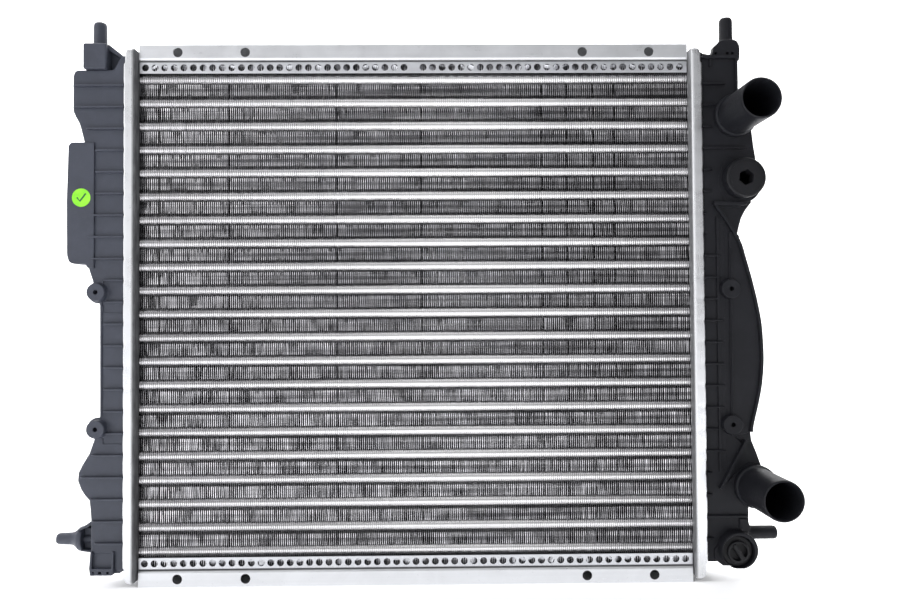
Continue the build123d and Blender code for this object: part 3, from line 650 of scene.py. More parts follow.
def build_right_tank():
    A, C = [], []
    A.append(prism(round2d(duct_r, 2.6, 4), TANK_Y0, TANK_Y1, "Y", 1.2, 3))
    A.append(foot(1))
    # wing: skin, rim round its edge, pocket behind
    skin = prism(round2d([(243.5, 62.0)] + wing_curve + [(243.5, -98.0)], 1.5, 3), -6.0, 14.0, "Y", 0.7, 2)
    inner = [(245.5, 58.0)] + [(x - 3.2, z) for x, z in wing_curve[2:-2]] + [(245.5, -92.0)]
    A.append(boolean([skin], [prism(inner, -3.0, 16.0, "Y", 0)]))
    rim = [(233.4, 81.8), (236.6, 77.4), (241.2, 70.6), (246.6, 62.2)] + [
        (x - 1.15, z) for x, z in smooth_open([(250.4, 57.4)] + wing_out[1:], 3)]
    A.append(prism(ribbon(rim, 2.3), -8.4, 2.0, "Y", 0.5, 2))
    # shoulders between the wing and the round bosses
    A.append(prism([(244, 50), (253.2, 50.3), (251.5, 59.1), (253.1, 65.9), (254.9, 72.4), (257.8, 77.9),
                    (263.0, 84.8), (262, 90), (244, 90)], -2.6, 23.8, "Y", 0.7, 2))
    A.append(prism([(244, -86), (260.4, -86.0), (259.6, -93.5), (260.5, -100.9), (264.2, -110.2),
                    (268.4, -122.1), (262, -128), (244, -128)], -2.9, 23.8, "Y", 0.7, 2))
    for k, x1 in rib_ends_r.items():
        A.append(rib(1, x1, rib_z(k)))
    # upright ribs and steps beside the wing
    A.append(slab(233.9, 236.1, -6.3, -3, -124.0, 73.0, 0.4))
    A.append(slab(236.0, 239.8, -5.4, -3, -122.0, 68.0, 0.25))
    A.append(slab(244.2, 245.4, -7.2, -3, -80.5, 49.0, 0.4))
    A.append(slab(230.2, 231.6, -6.6, -3, 190.5, 198.0, 0.4))
    A.append(slab(250.2, 252.0, -7.4, 4, 164.0, 198.0, 0.5))
    # ridge over the shoulder, and the lower diagonal rib
    A.append(prism(round2d([(231.6, 81.6), (231.8, 85.0), (258.4, 84.4), (257.2, 82.0), (234.6, 81.8)], 0.5, 2),
                   -8.4, 0.0, "Y", 0.5, 2))
    A.append(prism(ribbon([(234.6, -137.2), (241.0, -125.5), (248.0, -112.6), (254.8, -100.2)], 2.6), -8.4, 0.0,
                   "Y", 0.5, 2))
    # top: shelf, pedestal, upper pin
    A.append(slab(224.6, 253.4, RIB_Y0, RIB_Y1, 196.8, 199.3, 0.5))
    A.append(prism(round2d([(233.1, 198), (233.2, 202.0), (234.2, 206.6), (237.1, 209.1), (240.0, 211.4), (244.0, 212.2),
                            (250.6, 212.2), (253.0, 210.8), (254.3, 207.9), (254.8, 204.5), (254.2, 196.0)],
                           [0.3, 1.0, 1.5, 1.5, 2.0, 1.5, 1.5, 1.5, 1.5, 1.5, 0.6], 3), -4.4, 1.5, "Y", 0.9, 3))
    A.append(prism(round2d([(240.6, 198), (240.6, 208.0), (243.0, 210.6), (246.0, 211.9), (250.6, 211.9), (253.6, 209.4),
                            (254.2, 198)], 1.2, 3), 0.0, 24.0, "Y", 1.0, 2))
    A.append(prism(round2d([(224.2, 198), (224.2, 203.7), (226.2, 202.3), (230.4, 201.4), (234.4, 201.6), (234.4, 198)], 0.5, 3),
                   -2.0, 6.0, "Y", 0.5, 2))
    A.append(lathe("Z", (249.5, 11.5), [(0, 208), (7.6, 208), (7.6, 211.6), (7.2, 213.4), (6.4, 215.0), (5.6, 216.2), (5.3, 217.6),
                                        (5.2, 221.0), (5.15, 231.6), (4.9, 233.2), (4.0, 234.4), (2.6, 234.85), (0, 234.9)], 40))
    # lower locating pin with its slanted root
    A.append(lathe("X", (11.5, -175.4), [(0, 248), (6.6, 248), (6.6, 259.6), (6.0, 261.2), (5.4, 262.4), (5.2, 264.4),
                                         (5.15, 281.6), (4.8, 283.2), (3.9, 284.0), (2.6, 284.28), (0, 284.3)], 40))
    A.append(prism(round2d([(249.0, -158.0), (254.2, -159.4), (262.6, -180.6), (259.4, -184.4), (249.0, -184.4)], 0.8, 3),
                   2.0, 21.0, "Y", 0.7, 2))
    A.append(prism(round2d([(249.0, -160.0), (255.4, -160.4), (258.0, -169.0), (249.0, -176.0)], 0.8, 3),
                   -6.2, 22.0, "Y", 0.8, 2))
    # plug port
    A.append(rod("Y", PORT, 14.6, -13.0, 22.0, 0.5, 72, 3))
    A.append(rod("Y", (253.4, 100.8), 17.4, -5.0, 22.0, 0.6, 72, 2))
    A.append(prism(round2d([(240.0, 84.6), (253.9, 84.6), (266.0, 92.0), (266.0, 112.0), (253.9, 119.6), (243.6, 119.6),
                            (238.6, 111.0), (238.2, 95.0)], 4.0, 4), -5.3, 0.0, "Y", 0.5, 2))
    # hose necks
    for (x, z), wide in ((NECK_UP, 16.6), (NECK_LOW, 16.6)):
        A.append(rod("Y", (x, z), 16.4, -6.5, 25.0, 1.2, 72, 3))
        prof = [(0, 2.0), (wide, 2.0), (wide, -8.6), (wide - 0.15, -9.3), (wide - 0.7, -9.8), (15.5, -10.2), (15.1, -11.0),
                (15.0, -12.6), (15.0, -15.5), (15.0, -30.0), (15.0, -44.0), (15.0, -54.8), (14.95, -56.3),
                (14.7, -57.0), (14.3, -57.4), (13.9, -57.5), (0, -57.5)]
        A.append(lathe("Y", (x, z), prof, 80))
        C.append(lathe("Y", (x, z), [(0, -60), (14.2, -60), (13.75, -57.4), (13.3, -56.6), (13.05, -55.4), (13.0, -20),
                                     (12.7, 20.0), (11.8, 22.0), (0, 22.0)], 72))
    # shroud bosses
    for z in (17.0, -87.5):
        A += screw_boss(243.5, z, 7.5, 2.0)
        A.append(rod("Y", (248.5, z), 5.2, -4.6, 16.0, 0.5, 32))
    # drain boss: cup with a flat foot
    cx, cz = 246.0, -182.4
    outline = [p for p in circle(cx, cz, 13.9, 64, -math.pi / 2)]
    outline = [(x, max(z, -195.9)) for x, z in outline]
    clean = []
    for p in outline:
        if not clean or (Vector(p) - Vector(clean[-1])).length > 0.4:
            clean.append(p)
    A.append(prism(clean, -15.0, 24.0, "Y", 0.9, 3))
    A.append(prism(round2d([(229.2, -184.0), (229.6, -191.2), (232.0, -193.2), (235.8, -196.2), (247.0, -196.2),
                            (254.0, -190.0), (258.4, -180.0), (252.0, -168.0), (240.0, -170.0)], 1.6, 4),
                   -6.4, 22.0, "Y", 0.8, 2))
    # water space and openings
    C.append(prism(cavity_r, TANK_Y0 + 3.0, TANK_Y1 - 3.0, "Y", 0))
    C.append(rod("Y", PORT, 11.0, -14.0, 18.0, 0, 64))
    C.append(rod("Y", PORT, 13.6, -14.0, -11.0, 0, 64))
    C.append(rod("Y", DRAIN, 7.0, -17.0, 20.0, 0, 48))
    C.append(lathe("Y", DRAIN, [(0, -17.0), (12.9, -17.0), (12.6, -15.2), (12.1, -14.4), (12.0, -10.0), (0, -10.0)], 64))
    for z in (17.0, -87.5):
        C.append(rod("Y", (243.5, z), 1.8, -12.0, -5.6, 0, 24))
    # shallow recesses beside the diagonal ribs, and the small pockets of the shelf
    C.append(prism([(238.6, 80.6), (256.6, 80.6), (254.4, 75.0), (252.0, 68.0), (250.4, 61.6), (248.4, 61.8),
                    (243.2, 70.0)], -9.0, -3.5, "Y", 0))
    C.append(prism([(239.4, -134.0), (246.6, -120.6), (256.2, -103.4), (259.2, -103.6), (262.4, -111.0),
                    (264.6, -117.0), (256.0, -118.4), (247.0, -125.2)], -9.0, -3.7, "Y", 0))
    for x in (235.9, 245.0, 248.9):
        C.append(slab(x - 1.0, x + 1.0, -6.0, -1.5, 200.3, 202.4, 0))
    return boolean(A, C)


# ------------------------------------------------------------------ left tank
duct_l = [(-218.1, -196.0), (-231.0, -196.0), (-231.0, -183.0), (-248.8, -183.0), (-248.9, -157.8),
          (-249.5, -149.4), (-250.3, -142.4), (-253.3, -139.1), (-256.6, -134.2), (-259.2, -127.3),
          (-258.6, -120.9), (-255.7, -115.1), (-250.4, -106.4), (-247.1, -96.9), (-242.5, -77.8),
          (-242.8, 7.3), (-248.6, 26.6), (-251.5, 35.6), (-255.0, 40.0), (-255.0, 133.0),
          (-257.8, 144.2), (-259.1, 148.2), (-262.1, 153.5), (-263.7, 157.4), (-263.8, 184.6),
          (-262.8, 187.8), (-260.7, 189.3), (-232.5, 189.6), (-226.6, 200.4), (-218.1, 200.4)]
cavity_l = [(-214.1, -193.0), (-228.0, -193.0), (-228.0, -180.0), (-245.8, -180.0), (-245.9, -157.8),
            (-246.5, -149.4), (-247.6, -140.6), (-251.0, -137.0), (-253.9, -133.0), (-256.1, -127.3),
            (-255.6, -121.8), (-252.9, -116.4), (-247.6, -107.8), (-244.2, -98.0), (-239.5, -78.2),
            (-239.8, 7.8), (-245.6, 27.4), (-248.7, 36.6), (-249.0, 41.0), (-249.0, 133.8),
            (-254.9, 145.2), (-256.4, 149.2), (-259.4, 154.8), (-260.7, 158.0), (-260.8, 184.0),
            (-260.2, 186.2), (-234.4, 186.6), (-228.6, 196.4), (-214.1, 196.4)]
rib_ends_l = {0: 263.8, 1: 263.7, 2: 254.0, 3: 247.4, 4: 247.4, 5: 247.4, 6: 249.3, 7: 254.0,
              8: 251.0, 9: 240.6, 10: 240.6, 11: 240.6, 12: 240.6, 13: 240.6, 14: 240.6, 15: 240.6,
              16: 240.6, 17: 249.0, 18: 257.4, 19: 250.4, 20: 248.5, 21: 246.6}


def build_left_tank():
    A, C = [], []
    A.append(prism(round2d(duct_l, 2.4, 4), TANK_Y0, TANK_Y1, "Y", 1.2, 3))
    A.append(foot(-1))
    pocket = [(-246.6, 132.8), (-264.3, 132.8), (-266.4, 130.3), (-267.6, 88.2), (-267.3, 45.1), (-265.5, 40.1),
              (-261.6, 38.9), (-252.9, 38.9), (-251.6, 35.8), (-246.6, 35.8)]
    pocket_in = [(-258.0, 129.8), (-263.6, 129.8), (-264.6, 88.2), (-264.4, 45.1), (-263.0, 41.9), (-258.0, 41.9)]
    A.append(boolean([prism(round2d(pocket, [0.6, 2.6, 2.6, 20, 20, 3.5, 3.5, 2.0, 1.0, 0.5], 5), -6.4, 16.0, "Y", 0.9, 3)],
                     [prism(pocket_in, -3.4, 18.0, "Y", 0)]))
    for k, x1 in rib_ends_l.items():
        A.append(rib(-1, x1, rib_z(k)))
    # step line beside the straight run, and the small L-shaped mould marks by the bosses
    A.append(slab(-241.7, -240.5, -5.7, -3, -78.0, 10.0, 0.3))
    for z, d in ((26.2, -1), (6.4, -1), (-99.2, 1)):
        A.append(slab(-240.4, -239.6, -5.5, -3, min(z, z + 4.2 * d), max(z, z + 4.2 * d), 0.2))
    for z in (1.2, -99.6):
        A.append(slab(-240.2, -226.0, -5.4, -3, z - 0.4, z + 0.4, 0.2))
    # top block, gusset, upper pin
    A.append(prism(round2d([(-254.9, 189.4), (-254.9, 209.5), (-237.1, 209.5), (-237.1, 189.4)], 1.4, 4),
                   -8.0, 22.0, "Y", 1.2, 3))
    A.append(prism([(-238.0, 189.0), (-238.0, 208.6), (-236.2, 208.6), (-226.6, 200.8), (-225.2, 199.8),
                    (-225.2, 189.0)], 4.0, 8.0, "Y", 0.4, 2))
    A.append(prism(round2d([(-238.4, 206.2), (-238.4, 209.5), (-236.6, 209.5), (-226.0, 201.0), (-225.0, 200.2),
                            (-225.0, 197.6), (-227.6, 199.6)], 0.5, 2), -3.4, 18.0, "Y", 0.5, 2))
    A.append(lathe("Z", (-249.5, 11.5), [(0, 205), (6.4, 205), (6.4, 209.2), (5.8, 210.4), (5.3, 211.6), (5.2, 213.4),
                                         (5.1, 228.0), (4.85, 230.0), (4.1, 231.3), (2.8, 231.9), (0, 232.0)], 40))
    # lower locating pin: flared root, dished disc, webs
    A.append(lathe("X", (11.5, -175.4), [(0, -282.1), (2.6, -282.0), (3.7, -281.5), (4.2, -280.5), (4.4, -279.2),
                                         (4.75, -270.4), (5.2, -268.6), (6.4, -266.6), (7.9, -265.0), (9.0, -263.8),
                                         (9.4, -262.9), (9.4, -260.6), (8.9, -260.0), (0, -260.0)], 44))
    A.append(rod("X", (11.5, -175.4), 3.4, -261.0, -247.6, 0.3, 32))
    A.append(slab(-260.6, -247.6, 10.2, 12.8, -184.0, -166.8, 0.5))
    A.append(prism([(-249.4, -157.6), (-255.7, -162.9), (-262.4, -166.3), (-262.4, -167.9), (-255.4, -165.0), (-248.0, -160.6)],
                   3.0, 20.0, "Y", 0.5, 2))
    A.append(prism([(-248.4, -185.2), (-255.6, -184.4), (-260.8, -183.8), (-260.8, -182.4), (-255.0, -182.9), (-248.4, -183.4)],
                   5.0, 18.0, "Y", 0.5, 2))
    A.append(slab(-260.8, -247.6, 16.5, 20.0, -183.4, -165.0, 0.5))
    # foot bracket under the tank: two walls, a bottom bar and a sloping web behind
    A.append(prism(round2d([(-248.6, -199.0), (-249.4, -193.8), (-248.4, -181.0), (-246.8, -181.0), (-247.4, -193.6),
                            (-232.6, -193.6), (-232.2, -181.0), (-230.6, -181.0), (-231.0, -197.6), (-232.0, -199.0)], 0.5, 3),
                   -7.0, 26.0, "Y", 0.5, 2))
    A.append(slab(-248.0, -231.4, -4.0, 24.0, -196.0, -180.0, 0.3))
    A.append(prism(round2d([(-231.6, -198.4), (-227.7, -198.4), (-224.4, -196.4), (-221.0, -196.8), (-221.0, -192.4),
                            (-231.6, -192.4)], 0.5, 3), -3.0, 24.0, "Y", 0.5, 2))
    for z in (17.0, -87.5):
        A += screw_boss(-243.5, z, 6.9, 16.0)
    C.append(prism(cavity_l, TANK_Y0 + 3.0, TANK_Y1 - 3.0, "Y", 0))
    for z in (17.0, -87.5):
        C.append(rod("Y", (-243.5, z), 1.8, -12.0, 3.0, 0, 24))
    for x, w in ((-246.2, 1.6), (-241.2, 2.4), (-235.2, 1.8)):
        C.append(slab(x - w / 2, x + w / 2, -8.0, -3.4, -197.8, -195.8, 0))
    body = boolean(A, C)
    # the screw holes keep their walls inside the water space
    sleeves = []
    for z in (17.0, -87.5):
        sleeves.append(boolean([rod("Y", (-243.5, z), 6.9, TANK_Y0 + 0.5, 16.0, 0.2, 40)],
                               [rod("Y", (-243.5, z), 1.8, -12.0, 3.0, 0, 24)]))
    return boolean([body] + sleeves)


right_tank = finish_mesh("right_tank_moulding", build_right_tank(), M["right_plastic"], "radiator",
                         replaces=("right_tank",))
left_tank = finish_mesh("left_tank_moulding", build_left_tank(), M["left_plastic"], "radiator",
                        replaces=("left_tank",))


# ------------------------------------------------------------------ header plates
def build_header(s):
    """A drawn pan: floor, rounded wall and a lip crimped in waves over the tank foot."""
    cy, hy, hz, rad = 11.5, 19.5, 205.9, 3.2
    path = []          # (y, z, ny, nz, distance)
    d = 0.0

    def straight(y0, z0, y1, z1, ny, nz, step):
        nonlocal d
        length = math.hypot(y1 - y0, z1 - z0)
        k = max(1, int(round(length / step)))
        for i in range(k):
            t = i / k
            path.append((y0 + (y1 - y0) * t, z0 + (z1 - z0) * t, ny, nz, d + length * t))
        d += length

    def corner(yc, zc, a0, a1, k=7):
        nonlocal d
        for i in range(k):
            a = a0 + (a1 - a0) * i / k
            path.append((yc + rad * math.cos(a), zc + rad * math.sin(a), math.cos(a), math.sin(a), d + rad * abs(a1 - a0) * i / k))
        d += rad * abs(a1 - a0)

    h = math.pi / 2
    straight(cy - hy, hz - rad, cy - hy, -hz + rad, -1, 0, 1.2)
    corner(cy - hy + rad, -hz + rad, math.pi, math.pi + h)
    straight(cy - hy + rad, -hz, cy + hy - rad, -hz, 0, -1, 2.0)
    corner(cy + hy - rad, -hz + rad, -h, 0)
    straight(cy + hy, -hz + rad, cy + hy, hz - rad, 1, 0, 1.2)
    corner(cy + hy - rad, hz - rad, 0, h)
    straight(cy + hy - rad, hz, cy - hy + rad, hz, 0, 1, 2.0)
    corner(cy - hy + rad, hz - rad, h, math.pi)

    bm = bmesh.new()
    rows = []
    rnd = random.Random(31 if s > 0 else 32)
    phase = 0.0
    for (y, z, ny, nz, dist) in path:
        end = abs(z) > 190.0
        w = 0.5 + 0.5 * math.cos(2 * math.pi * (z - 177.0) / 16.76) if abs(ny) > 0.9 else 0.0
        w = w ** 5
        if end:
            w *= 0.35
        jig = rnd.uniform(-0.05, 0.05)
        top = 224.0 - 0.32 * w + jig * 0.4          # the crimped fold dips where each tooth pressed it
        az = abs(z)
        if az > 193.2:                               # past the first crimp the fold is not pressed over
            top = 222.9
        if az > 198.0:
            top -= 2.6 * (1 - math.sqrt(max(0.0, 1 - ((az - 198.0) / 7.2) ** 2)))
        lip = 1.9 + 0.9 * w
        bulge = -0.08 * w
        prof = []
        for j in range(6):                            # outer bend from the floor to the wall
            a = j / 5 * h
            prof.append((-2.3 + 2.3 * math.sin(a), 215.0 + 2.3 * (1 - math.cos(a))))
        prof.append((bulge, 218.0))
        for j in range(5):                            # fold at the rim
            a = j / 4 * h
            prof.append((bulge - 1.3 * (1 - math.cos(a)), top - 1.3 + 1.3 * math.sin(a)))
        prof.append((-lip, top - 0.1 - 0.25 * w))
        prof.append((-lip - 0.05, min(222.05, top - 0.5)))
        prof.append((-1.5, min(222.02, top - 0.55)))
        prof.append((-1.5, 217.6))
        prof.append((-1.8, 216.8))
        prof.append((-2.5, 216.5))
        rows.append([bm.verts.new((s * x, y + ny * n, z + nz * n)) for n, x in prof])
    m, k = len(rows), len(rows[0])
    for i in range(m):
        a, b = rows[i], rows[(i + 1) % m]
        for j in range(k - 1):
            bm.faces.new((a[j], a[j + 1], b[j + 1], b[j]))
    bm.faces.new([r[0] for r in rows])
    bm.faces.new([r[-1] for r in rows][::-1])
    bmesh.ops.recalc_face_normals(bm, faces=bm.faces)
    bores = [rod("X", (6.0, z), 4.03, 212 * s if s > 0 else -220, 220 if s > 0 else -212, 0, 24) for z in front_z]
    bores += [rod("X", (17.0, z), 4.03, 212 * s if s > 0 else -220, 220 if s > 0 else -212, 0, 24) for z in rear_z]
    return boolean([bm], bores)


for s, side in ((-1, "left"), (1, "right")):
    finish_mesh(f"{side}_header_pan", build_header(s), M["header"], "radiator", angle=50,
                replaces=(f"{side}_header_plate",))


# ------------------------------------------------------------------ side plates and end strips
def build_side_plate(s):
    y0, y1, z0, z1, t = -2.0, 25.0, 197.0, 209.7, 1.2
    z2 = 217.0 if s > 0 else z1
    ro, ri = 2.6, 1.4
    pts = [(y0, z1), (y0, z0), (y1, z0), (y1, z2), (y1 - t, z2), (y1 - t, z0 + t), (y0 + t, z0 + t), (y0 + t, z1)]
    pts = round2d(pts, [0.35, ro, ro, 0.35, 0.35, ri, ri, 0.35], 6)
    pts = [(y, s * z) for y, z in pts]
    A = [prism(pts, -214.0, 214.0, "X", 0.15, 1), slab(-215.0, 215.0, 1.0, 22.0, s * 197.05, s * 198.15, 0.1, 1)]
    C = [rod("Y", (x, s * 203.8), 3.75, -4.0, 1.0, 0, 36) for x in (-184.0, -131.7, 131.7, 184.0)]
    return boolean(A, C)


def build_end_strip(s, skip):
    z1, z0 = 197.0, 187.6
    pts = round2d([(-1, z0), (0, z0), (0, z1 - 1), (23, z1 - 1), (23, z0), (24, z0), (24, z1), (-1, z1)],
                  [0.2, 0.2, 0.4, 0.4, 0.2, 0.2, 1.2, 1.2], 4)
    A = [prism([(y, s * z) for y, z in pts], -214.0, 214.0, "X", 0.12, 1)]
    C = []
    for k in range(57):
        if k in skip:
            continue
        x = -209.4 + 7.46 * k
        C.append(rod("Y", (x, s * 192.0), 2.7, -3.0, 26.0, 0, 20))
    return boolean(A, C)


def build_strip_tabs(s, skip, seed):
    """The pierced discs, left hanging behind the holes by one edge and pushed back at odd angles."""
    rnd = random.Random(seed)
    bm = bmesh.new()
    for face, inward in ((0.0, 1), (23.0, -1)):
        for k in range(57):
            if k in skip:
                continue
            cx, cz, r = -209.4 + 7.46 * k, s * 192.0, 2.66
            hinge = rnd.choice((90, 90, 60, 120, 180, 0, 75)) + rnd.uniform(-25, 25)
            tilt = math.radians(rnd.uniform(20, 72) if s > 0 else rnd.uniform(8, 48))
            h = math.radians(hinge)
            hx, hz = math.cos(h), math.sin(h)             # towards the hinge
            tx, tz = -hz, hx
            cut = rnd.uniform(0.25, 0.95)                  # how far the torn disc reaches from its hinge
            pts = []
            n = 14
            for i in range(n + 1):
                a = math.pi * (i / n - 0.5) * (0.62 + 0.38 * cut)
                u = r * math.sin(a) * rnd.uniform(0.94, 1.0)
                v = r * (1 + math.cos(a) * (2 * cut - 1)) if cut > 0.5 else r * (0.5 + 0.9 * cut * math.cos(a))
                pts.append((u, v))
            pts = [(-r * 0.75, r * 0.18)] + pts + [(r * 0.75, r * 0.18)]
            lo, hi = [], []
            for u, v in pts:
                d = min(v, 2 * r * 0.97)
                curl = 0.35 * math.sin(min(1.0, d / (2 * r)) * math.pi)
                depth = d * math.sin(tilt)
                run = d * math.cos(tilt)
                x = cx + hx * (r - 0.1 - run) + tx * u
                z = cz + hz * (r - 0.1 - run) + tz * u
                y = face + inward * (0.25 + min(depth, 4.8) * 0.9 + curl)
                lo.append(bm.verts.new((x, y, z)))
                hi.append(bm.verts.new((x, y + inward * 0.25, z)))
            m = len(pts)
            bm.faces.new(lo)
            bm.faces.new(hi[::-1])
            for i in range(m):
                j = (i + 1) % m
                bm.faces.new((lo[j], lo[i], hi[i], hi[j]))
    bmesh.ops.recalc_face_normals(bm, faces=bm.faces)
    return bm


for s, side, skip in ((1, "top", (28,)), (-1, "bottom", ())):
    finish_mesh(f"{side}_strip_tabs", build_strip_tabs(s, skip, 71 if s > 0 else 72), M["strip"], "radiator",
                angle=30, weighted=False, clean=False)
for s, side, skip in ((1, "top", (28,)), (-1, "bottom", ())):
    finish_mesh(f"{side}_side_channel", build_side_plate(s), M["plate"], "radiator", angle=40,
                replaces=(f"{side}_side_plate",))
    finish_mesh(f"{side}_perforated_strip", build_end_strip(s, skip), M["strip"], "radiator",
                angle=40, replaces=(f"{side}_end_strip",))


# ------------------------------------------------------------------ fins
def waves(seed, count, lx, lz):
    """A smooth wandering surface over the core, about -1..1."""
    r = random.Random(seed)
    terms = [(2 * math.pi / r.uniform(*lx) * r.choice((-1, 1)), 2 * math.pi / r.uniform(*lz), r.uniform(0, 6.28), r.uniform(0.5, 1.0))
             for _ in range(count)]
    norm = math.sqrt(sum(t[3] ** 2 for t in terms) / 2) * 1.6
    return lambda x, z: sum(a * math.sin(kx * x + kz * z + p) for kx, kz, p, a in terms) / norm


group_lean = waves(81, 7, (26, 90), (15, 46))
group_back = waves(82, 6, (18, 60), (15, 40))


def build_fins(x_from, x_to, seed):
    """Plate fins at the real 1.5 mm pitch: flat in front, waved behind, their cut edges turned a little this way or that."""
    rnd = random.Random(seed)
    verts, faces = [], []
    pitch, t = 1.5, 0.12
    zs, open_ = [-196.0], [0.0]
    for c in sorted(front_z):                        # the turned edge stops short of each tube
        for dz, w in ((-5.1, 1.0), (-4.4, 0.0), (4.4, 0.0), (5.1, 1.0), (9.2, 1.0)):
            zs.append(c + dz)
            open_.append(w)
    zs[-1], open_[-1] = 196.0, 0.0
    ys = [0.7, 0.77, 4.0, 12.0, 13.6, 15.2, 17.0, 18.8, 20.8, 23.0]
    m, ny = len(zs), len(ys)
    k = int(math.ceil((x_from + 214.25) / pitch))
    while -214.25 + pitch * k < x_to:
        xc = -214.25 + pitch * k
        k += 1
        amp = 0.78 + rnd.uniform(-0.04, 0.04)
        tilt = rnd.gauss(0, 0.05)
        hem = 0.335 - 0.0004 * xc + rnd.gauss(0, 0.035)
        if rnd.random() < 0.04:
            hem = -0.10
        if rnd.random() < 0.07:
            hem = 0.50
        h1, h2, p1, p2 = rnd.uniform(0.05, 0.11), rnd.uniform(0.18, 0.42), rnd.uniform(0, 6.3), rnd.uniform(0, 6.3)
        knock = (rnd.uniform(-185, 185), rnd.choice((-1, 1)) * rnd.uniform(0.2, 0.5)) if rnd.random() < 0.14 else (0, 0)
        base = len(verts)
        rows = []
        for z, w in zip(zs, open_):
            lean = 0.34 * group_lean(xc, z) + rnd.gauss(0, 0.03) + knock[1] * math.exp(-((z - knock[0]) / 8.0) ** 2)
            edge = w * (hem * (0.82 + 0.22 * math.sin(h1 * z + p1) + 0.24 * math.sin(h2 * z + p2) + 0.30 * group_back(xc + 40, z)) + rnd.gauss(0, 0.03))
            back = 0.25 * group_back(xc, z) + rnd.gauss(0, 0.05)
            rows.append((z, lean, edge, back))
        for side in (-t / 2, t / 2):
            for z, lean, edge, back in rows:
                for j, y in enumerate(ys):
                    if y <= 12.0:
                        x = xc + (tilt + lean) * (0.5 - (y - 0.7) / 11.3)
                        if j == 0:
                            x += edge
                    else:
                        f = (y - 12.0) / 11.0
                        x = xc - 0.5 * (tilt + lean) * (1 - f) + back * f + amp * math.sin(2 * math.pi * (y - 12) / 7.4) * min(1.0, (y - 12) / 1.3)
                    verts.append((max(-214.9, min(214.9, x + side)), y, z))
        a, b = base, base + m * ny
        for i in range(m - 1):
            for j in range(ny - 1):
                p, q = i * ny + j, (i + 1) * ny + j
                faces.append((a + p, a + q, a + q + 1, a + p + 1))
                faces.append((b + p, b + p + 1, b + q + 1, b + q))
            p, q = i * ny, (i + 1) * ny
            faces.append((a + p, b + p, b + q, a + q))
            p, q = p + ny - 1, q + ny - 1
            faces.append((a + p, a + q, b + q, b + p))
        for j in range(ny - 1):
            faces.append((a + j, a + j + 1, b + j + 1, b + j))
            p = (m - 1) * ny + j
            faces.append((a + p, b + p, b + p + 1, a + p + 1))
    return verts, faces


def finish_pydata(name, verts, faces, material, body, angle=60.0, replaces=()):
    me = bpy.data.meshes.new(name)
    me.from_pydata(verts, [], faces)
    me.transform(TO_ROW)
    me.polygons.foreach_set("use_smooth", [True] * len(me.polygons))
    me.set_sharp_from_angle(angle=math.radians(angle))
    me.materials.append(material)
    me.update()
    o = bpy.data.objects.new(name, me)
    scene.collection.objects.link(o)
    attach(o, body)
    if replaces:
        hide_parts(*replaces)
    return o


for i in range(8):
    a, b = -215.0 + 430.0 * i / 8, -215.0 + 430.0 * (i + 1) / 8
    v_, f_ = build_fins(a, b, 50 + i)
    finish_pydata(f"fins_{i + 1}", v_, f_, M["fin"], "radiator", replaces=("fin_pack",))


# ------------------------------------------------------------------ tubes
def build_tubes(y, zs, seed):
    """Drawn round tubes, hollow, with rounded ends."""
    rnd = random.Random(seed)
    verts, faces = [], []
    n = 40
    for z0 in zs:
        prof = [(3.55, -220.6), (3.98, -220.55), (4.0, -219.6), (4.0, -216.0)]
        prof += [(4.0, -214.0 + 428.0 * i / 12) for i in range(13)]
        prof += [(4.0, 216.0), (4.0, 219.6), (3.98, 220.55), (3.55, 220.6)]
        sag = rnd.uniform(-0.05, 0.05)
        phase = rnd.uniform(0, 6.28)
        base = len(verts)
        for r, x in prof:
            dz = sag * math.sin(math.pi * (x + 215) / 430 + phase) if abs(x) < 214 else 0.0
            for i in range(n):
                w = 2 * math.pi * i / n
                verts.append((x, y + r * math.cos(w), z0 + dz + r * math.sin(w)))
        k = len(prof)
        for x in (220.6, -220.6):
            for i in range(n):
                w = 2 * math.pi * i / n
                verts.append((x, y + 3.55 * math.cos(w), z0 + 3.55 * math.sin(w)))
        rings = list(range(k)) + [k, k + 1]
        for p, q in zip(rings, rings[1:] + [0]):
            if (p, q) in ((k - 1, k), (k + 1, 0)):
                continue
            for i in range(n):
                j = (i + 1) % n
                faces.append((base + p * n + i, base + q * n + i, base + q * n + j, base + p * n + j))
    return verts, faces


for name, y, zs, node in (("front_tubes", 6.0, front_z, "front_tube_row"), ("rear_tubes", 17.0, rear_z, "rear_tube_row")):
    v_, f_ = build_tubes(y, zs, 11 if y < 10 else 12)
    finish_pydata(name, v_, f_, M["tube" if y < 10 else "tube_rear_shaded"], "radiator", replaces=(node,))


